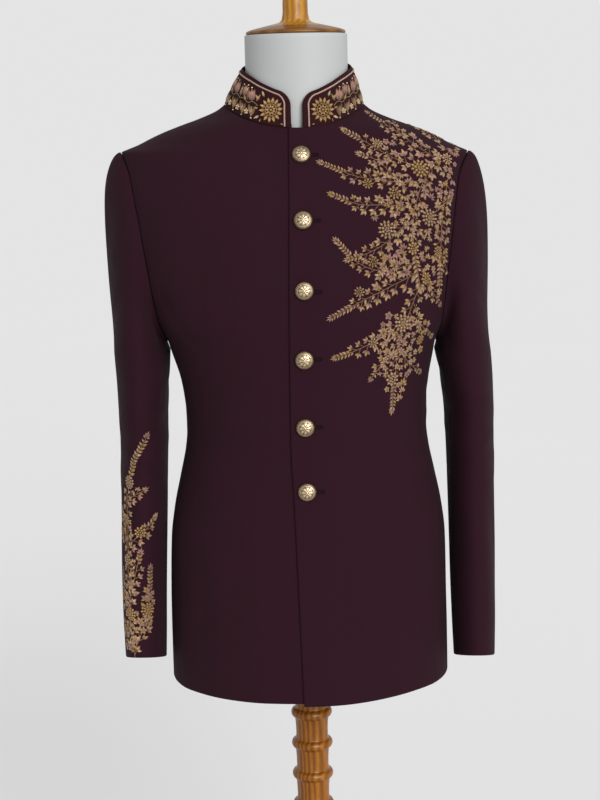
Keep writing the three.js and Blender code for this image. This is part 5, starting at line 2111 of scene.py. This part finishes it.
def make_button(index, seat):
    brim = BUTTON_LIFT + BUTTON_RIM
    dome_radii = np.linspace(BUTTON_RADIUS - 0.5, 0.25, 40)
    share = 1 - (dome_radii / (BUTTON_RADIUS - 0.5)) ** 2
    dome = brim + (BUTTON_DOME - BUTTON_RIM - 0.3) * share**0.8
    low = [(0.2, -CLOTH - 0.6), (SHANK_RADIUS, -CLOTH - 0.6), (SHANK_RADIUS, BUTTON_LIFT)]
    low += [(BUTTON_RADIUS - 1.2, BUTTON_LIFT), (BUTTON_RADIUS - 0.4, BUTTON_LIFT + 0.2)]
    low.append((BUTTON_RADIUS, BUTTON_LIFT + BUTTON_RIM / 2))
    low.append((BUTTON_RADIUS - 0.15, BUTTON_LIFT + BUTTON_RIM * 0.8))
    radii = np.concatenate([[r for r, _ in low], dome_radii])
    heights = np.concatenate([[h for _, h in low], dome])
    angles = np.linspace(0, 2 * np.pi, BUTTON_SIDES, endpoint=False)
    r, angle = np.meshgrid(radii, angles, indexing="ij")
    on_dome = np.arange(len(radii)) >= len(low)
    relief = button_relief(r, angle) * on_dome[:, None]
    rise = heights[:, None] + relief * BUTTON_EMBOSS
    spots = points(r * np.cos(angle), rise, r * np.sin(angle))
    faces = grid_faces(len(radii), BUTTON_SIDES, wrap=True)[:, ::-1].tolist()
    count = len(radii)
    faces += [lid[::-1] for lid in lids(count, BUTTON_SIDES)]
    shade = np.clip(0.15 + relief * 1.3, 0, 1).reshape(-1, 1)
    tones = np.repeat(shade, 3, axis=1)
    made = mesh_object(f"button_brass_{index}", seated(spots.reshape(-1, 3), seat), faces, None, tones, 35)
    dress(made, "brass", BRASS)
    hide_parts(f"button_{index}")
    return made


STITCH_OFF = 1.15  # from the slit's edge to the middle of its stitching
STITCH_RADIUS = 0.8
STITCH_RISE = 0.1  # of its middle over the seat


KEYHOLE_STEPS = 12
HOLE_REACH = 6.0  # of the cutter, out and in


def keyhole(offset):
    """The outline of a buttonhole, moved out by offset, in the seat's own plane."""
    eye = EYE_RADIUS + offset
    half = SLIT_WIDTH / 2 + offset
    start = math.asin(min(half / eye, 1.0))
    round_eye = np.linspace(start, 2 * math.pi - start, KEYHOLE_STEPS * 2)
    spots = [(eye * math.cos(a), eye * math.sin(a)) for a in round_eye]
    for x in np.linspace(eye * math.cos(start), SLIT_LENGTH, KEYHOLE_STEPS)[1:]:
        spots.append((x, -half))
    for a in np.linspace(-math.pi / 2, math.pi / 2, 8)[1:-1]:
        spots.append((SLIT_LENGTH + half * math.cos(a), half * math.sin(a)))
    for x in np.linspace(SLIT_LENGTH, eye * math.cos(start), KEYHOLE_STEPS)[:-1]:
        spots.append((x, half))
    return np.array(spots)


def cut_buttonholes(panel, seats):
    """Cuts the six keyholes through the left front."""
    outline = keyhole(0.0)
    rings = [points(outline[:, 0], depth, outline[:, 1]) for depth in (-HOLE_REACH, HOLE_REACH)]
    deep = np.concatenate(rings)
    bodies = [ringed(seated(deep, seat).reshape(2, -1, 3)) for seat in seats]
    cutter = mesh_object("buttonhole_cutter", *gathered(bodies))
    cutter.data.materials.append(LINING)
    cut = panel.modifiers.new("buttonholes", "BOOLEAN")
    cut.operation = "DIFFERENCE"
    cut.solver = "EXACT"
    cut.object = cutter
    evaluated = panel.evaluated_get(bpy.context.evaluated_depsgraph_get())
    cut_mesh = bpy.data.meshes.new_from_object(evaluated)
    panel.modifiers.clear()
    panel.data = cut_mesh
    bpy.data.objects.remove(cutter)


def sew_buttonholes(seats):
    outline = keyhole(STITCH_OFF)
    flat = points(outline[:, 0], STITCH_RISE, outline[:, 1])
    cords = []
    for seat in seats:
        centre = seated(flat, seat)
        out = np.broadcast_to(seated(np.array([[0, 1.0, 0]]), seat)[0] - seat[0], centre.shape)
        cords.append(swept(centre, out, STITCH_RADIUS, 8, closed=True))
    spots, faces = gathered([cord[:2] for cord in cords])
    runs = np.concatenate([cord[2] for cord in cords])
    tones = np.tile(linear(24, 8, 14), (len(spots), 1))
    return mesh_object("buttonhole_stitching", spots, faces, runs, tones, smooth_angle=60)


def make_buttons():
    seats = [button_seat(height, across) for height, across in BUTTONS]
    cut_buttonholes(PANELS["front_left"], seats)
    for index, seat in enumerate(seats, 1):
        make_button(index, seat)
    return dress(sew_buttonholes(seats), "wool", HOLE_THREAD)


HOLES = make_buttons()
TAPE = dress(collar_tape("collar_seam_tape"), "collar_wool", COLLAR_WOOL)
PIPING = dress(make_piping(), "collar_wool", PIPING_THREAD)
CHEST_WORK = dress(sew_chest(), "wool", GOLD_THREAD)
SLEEVE_WORK = dress(sew_sleeve(), "wool", GOLD_THREAD)
COLLAR_WORK = dress(sew_collar(), "collar_wool", GOLD_THREAD)
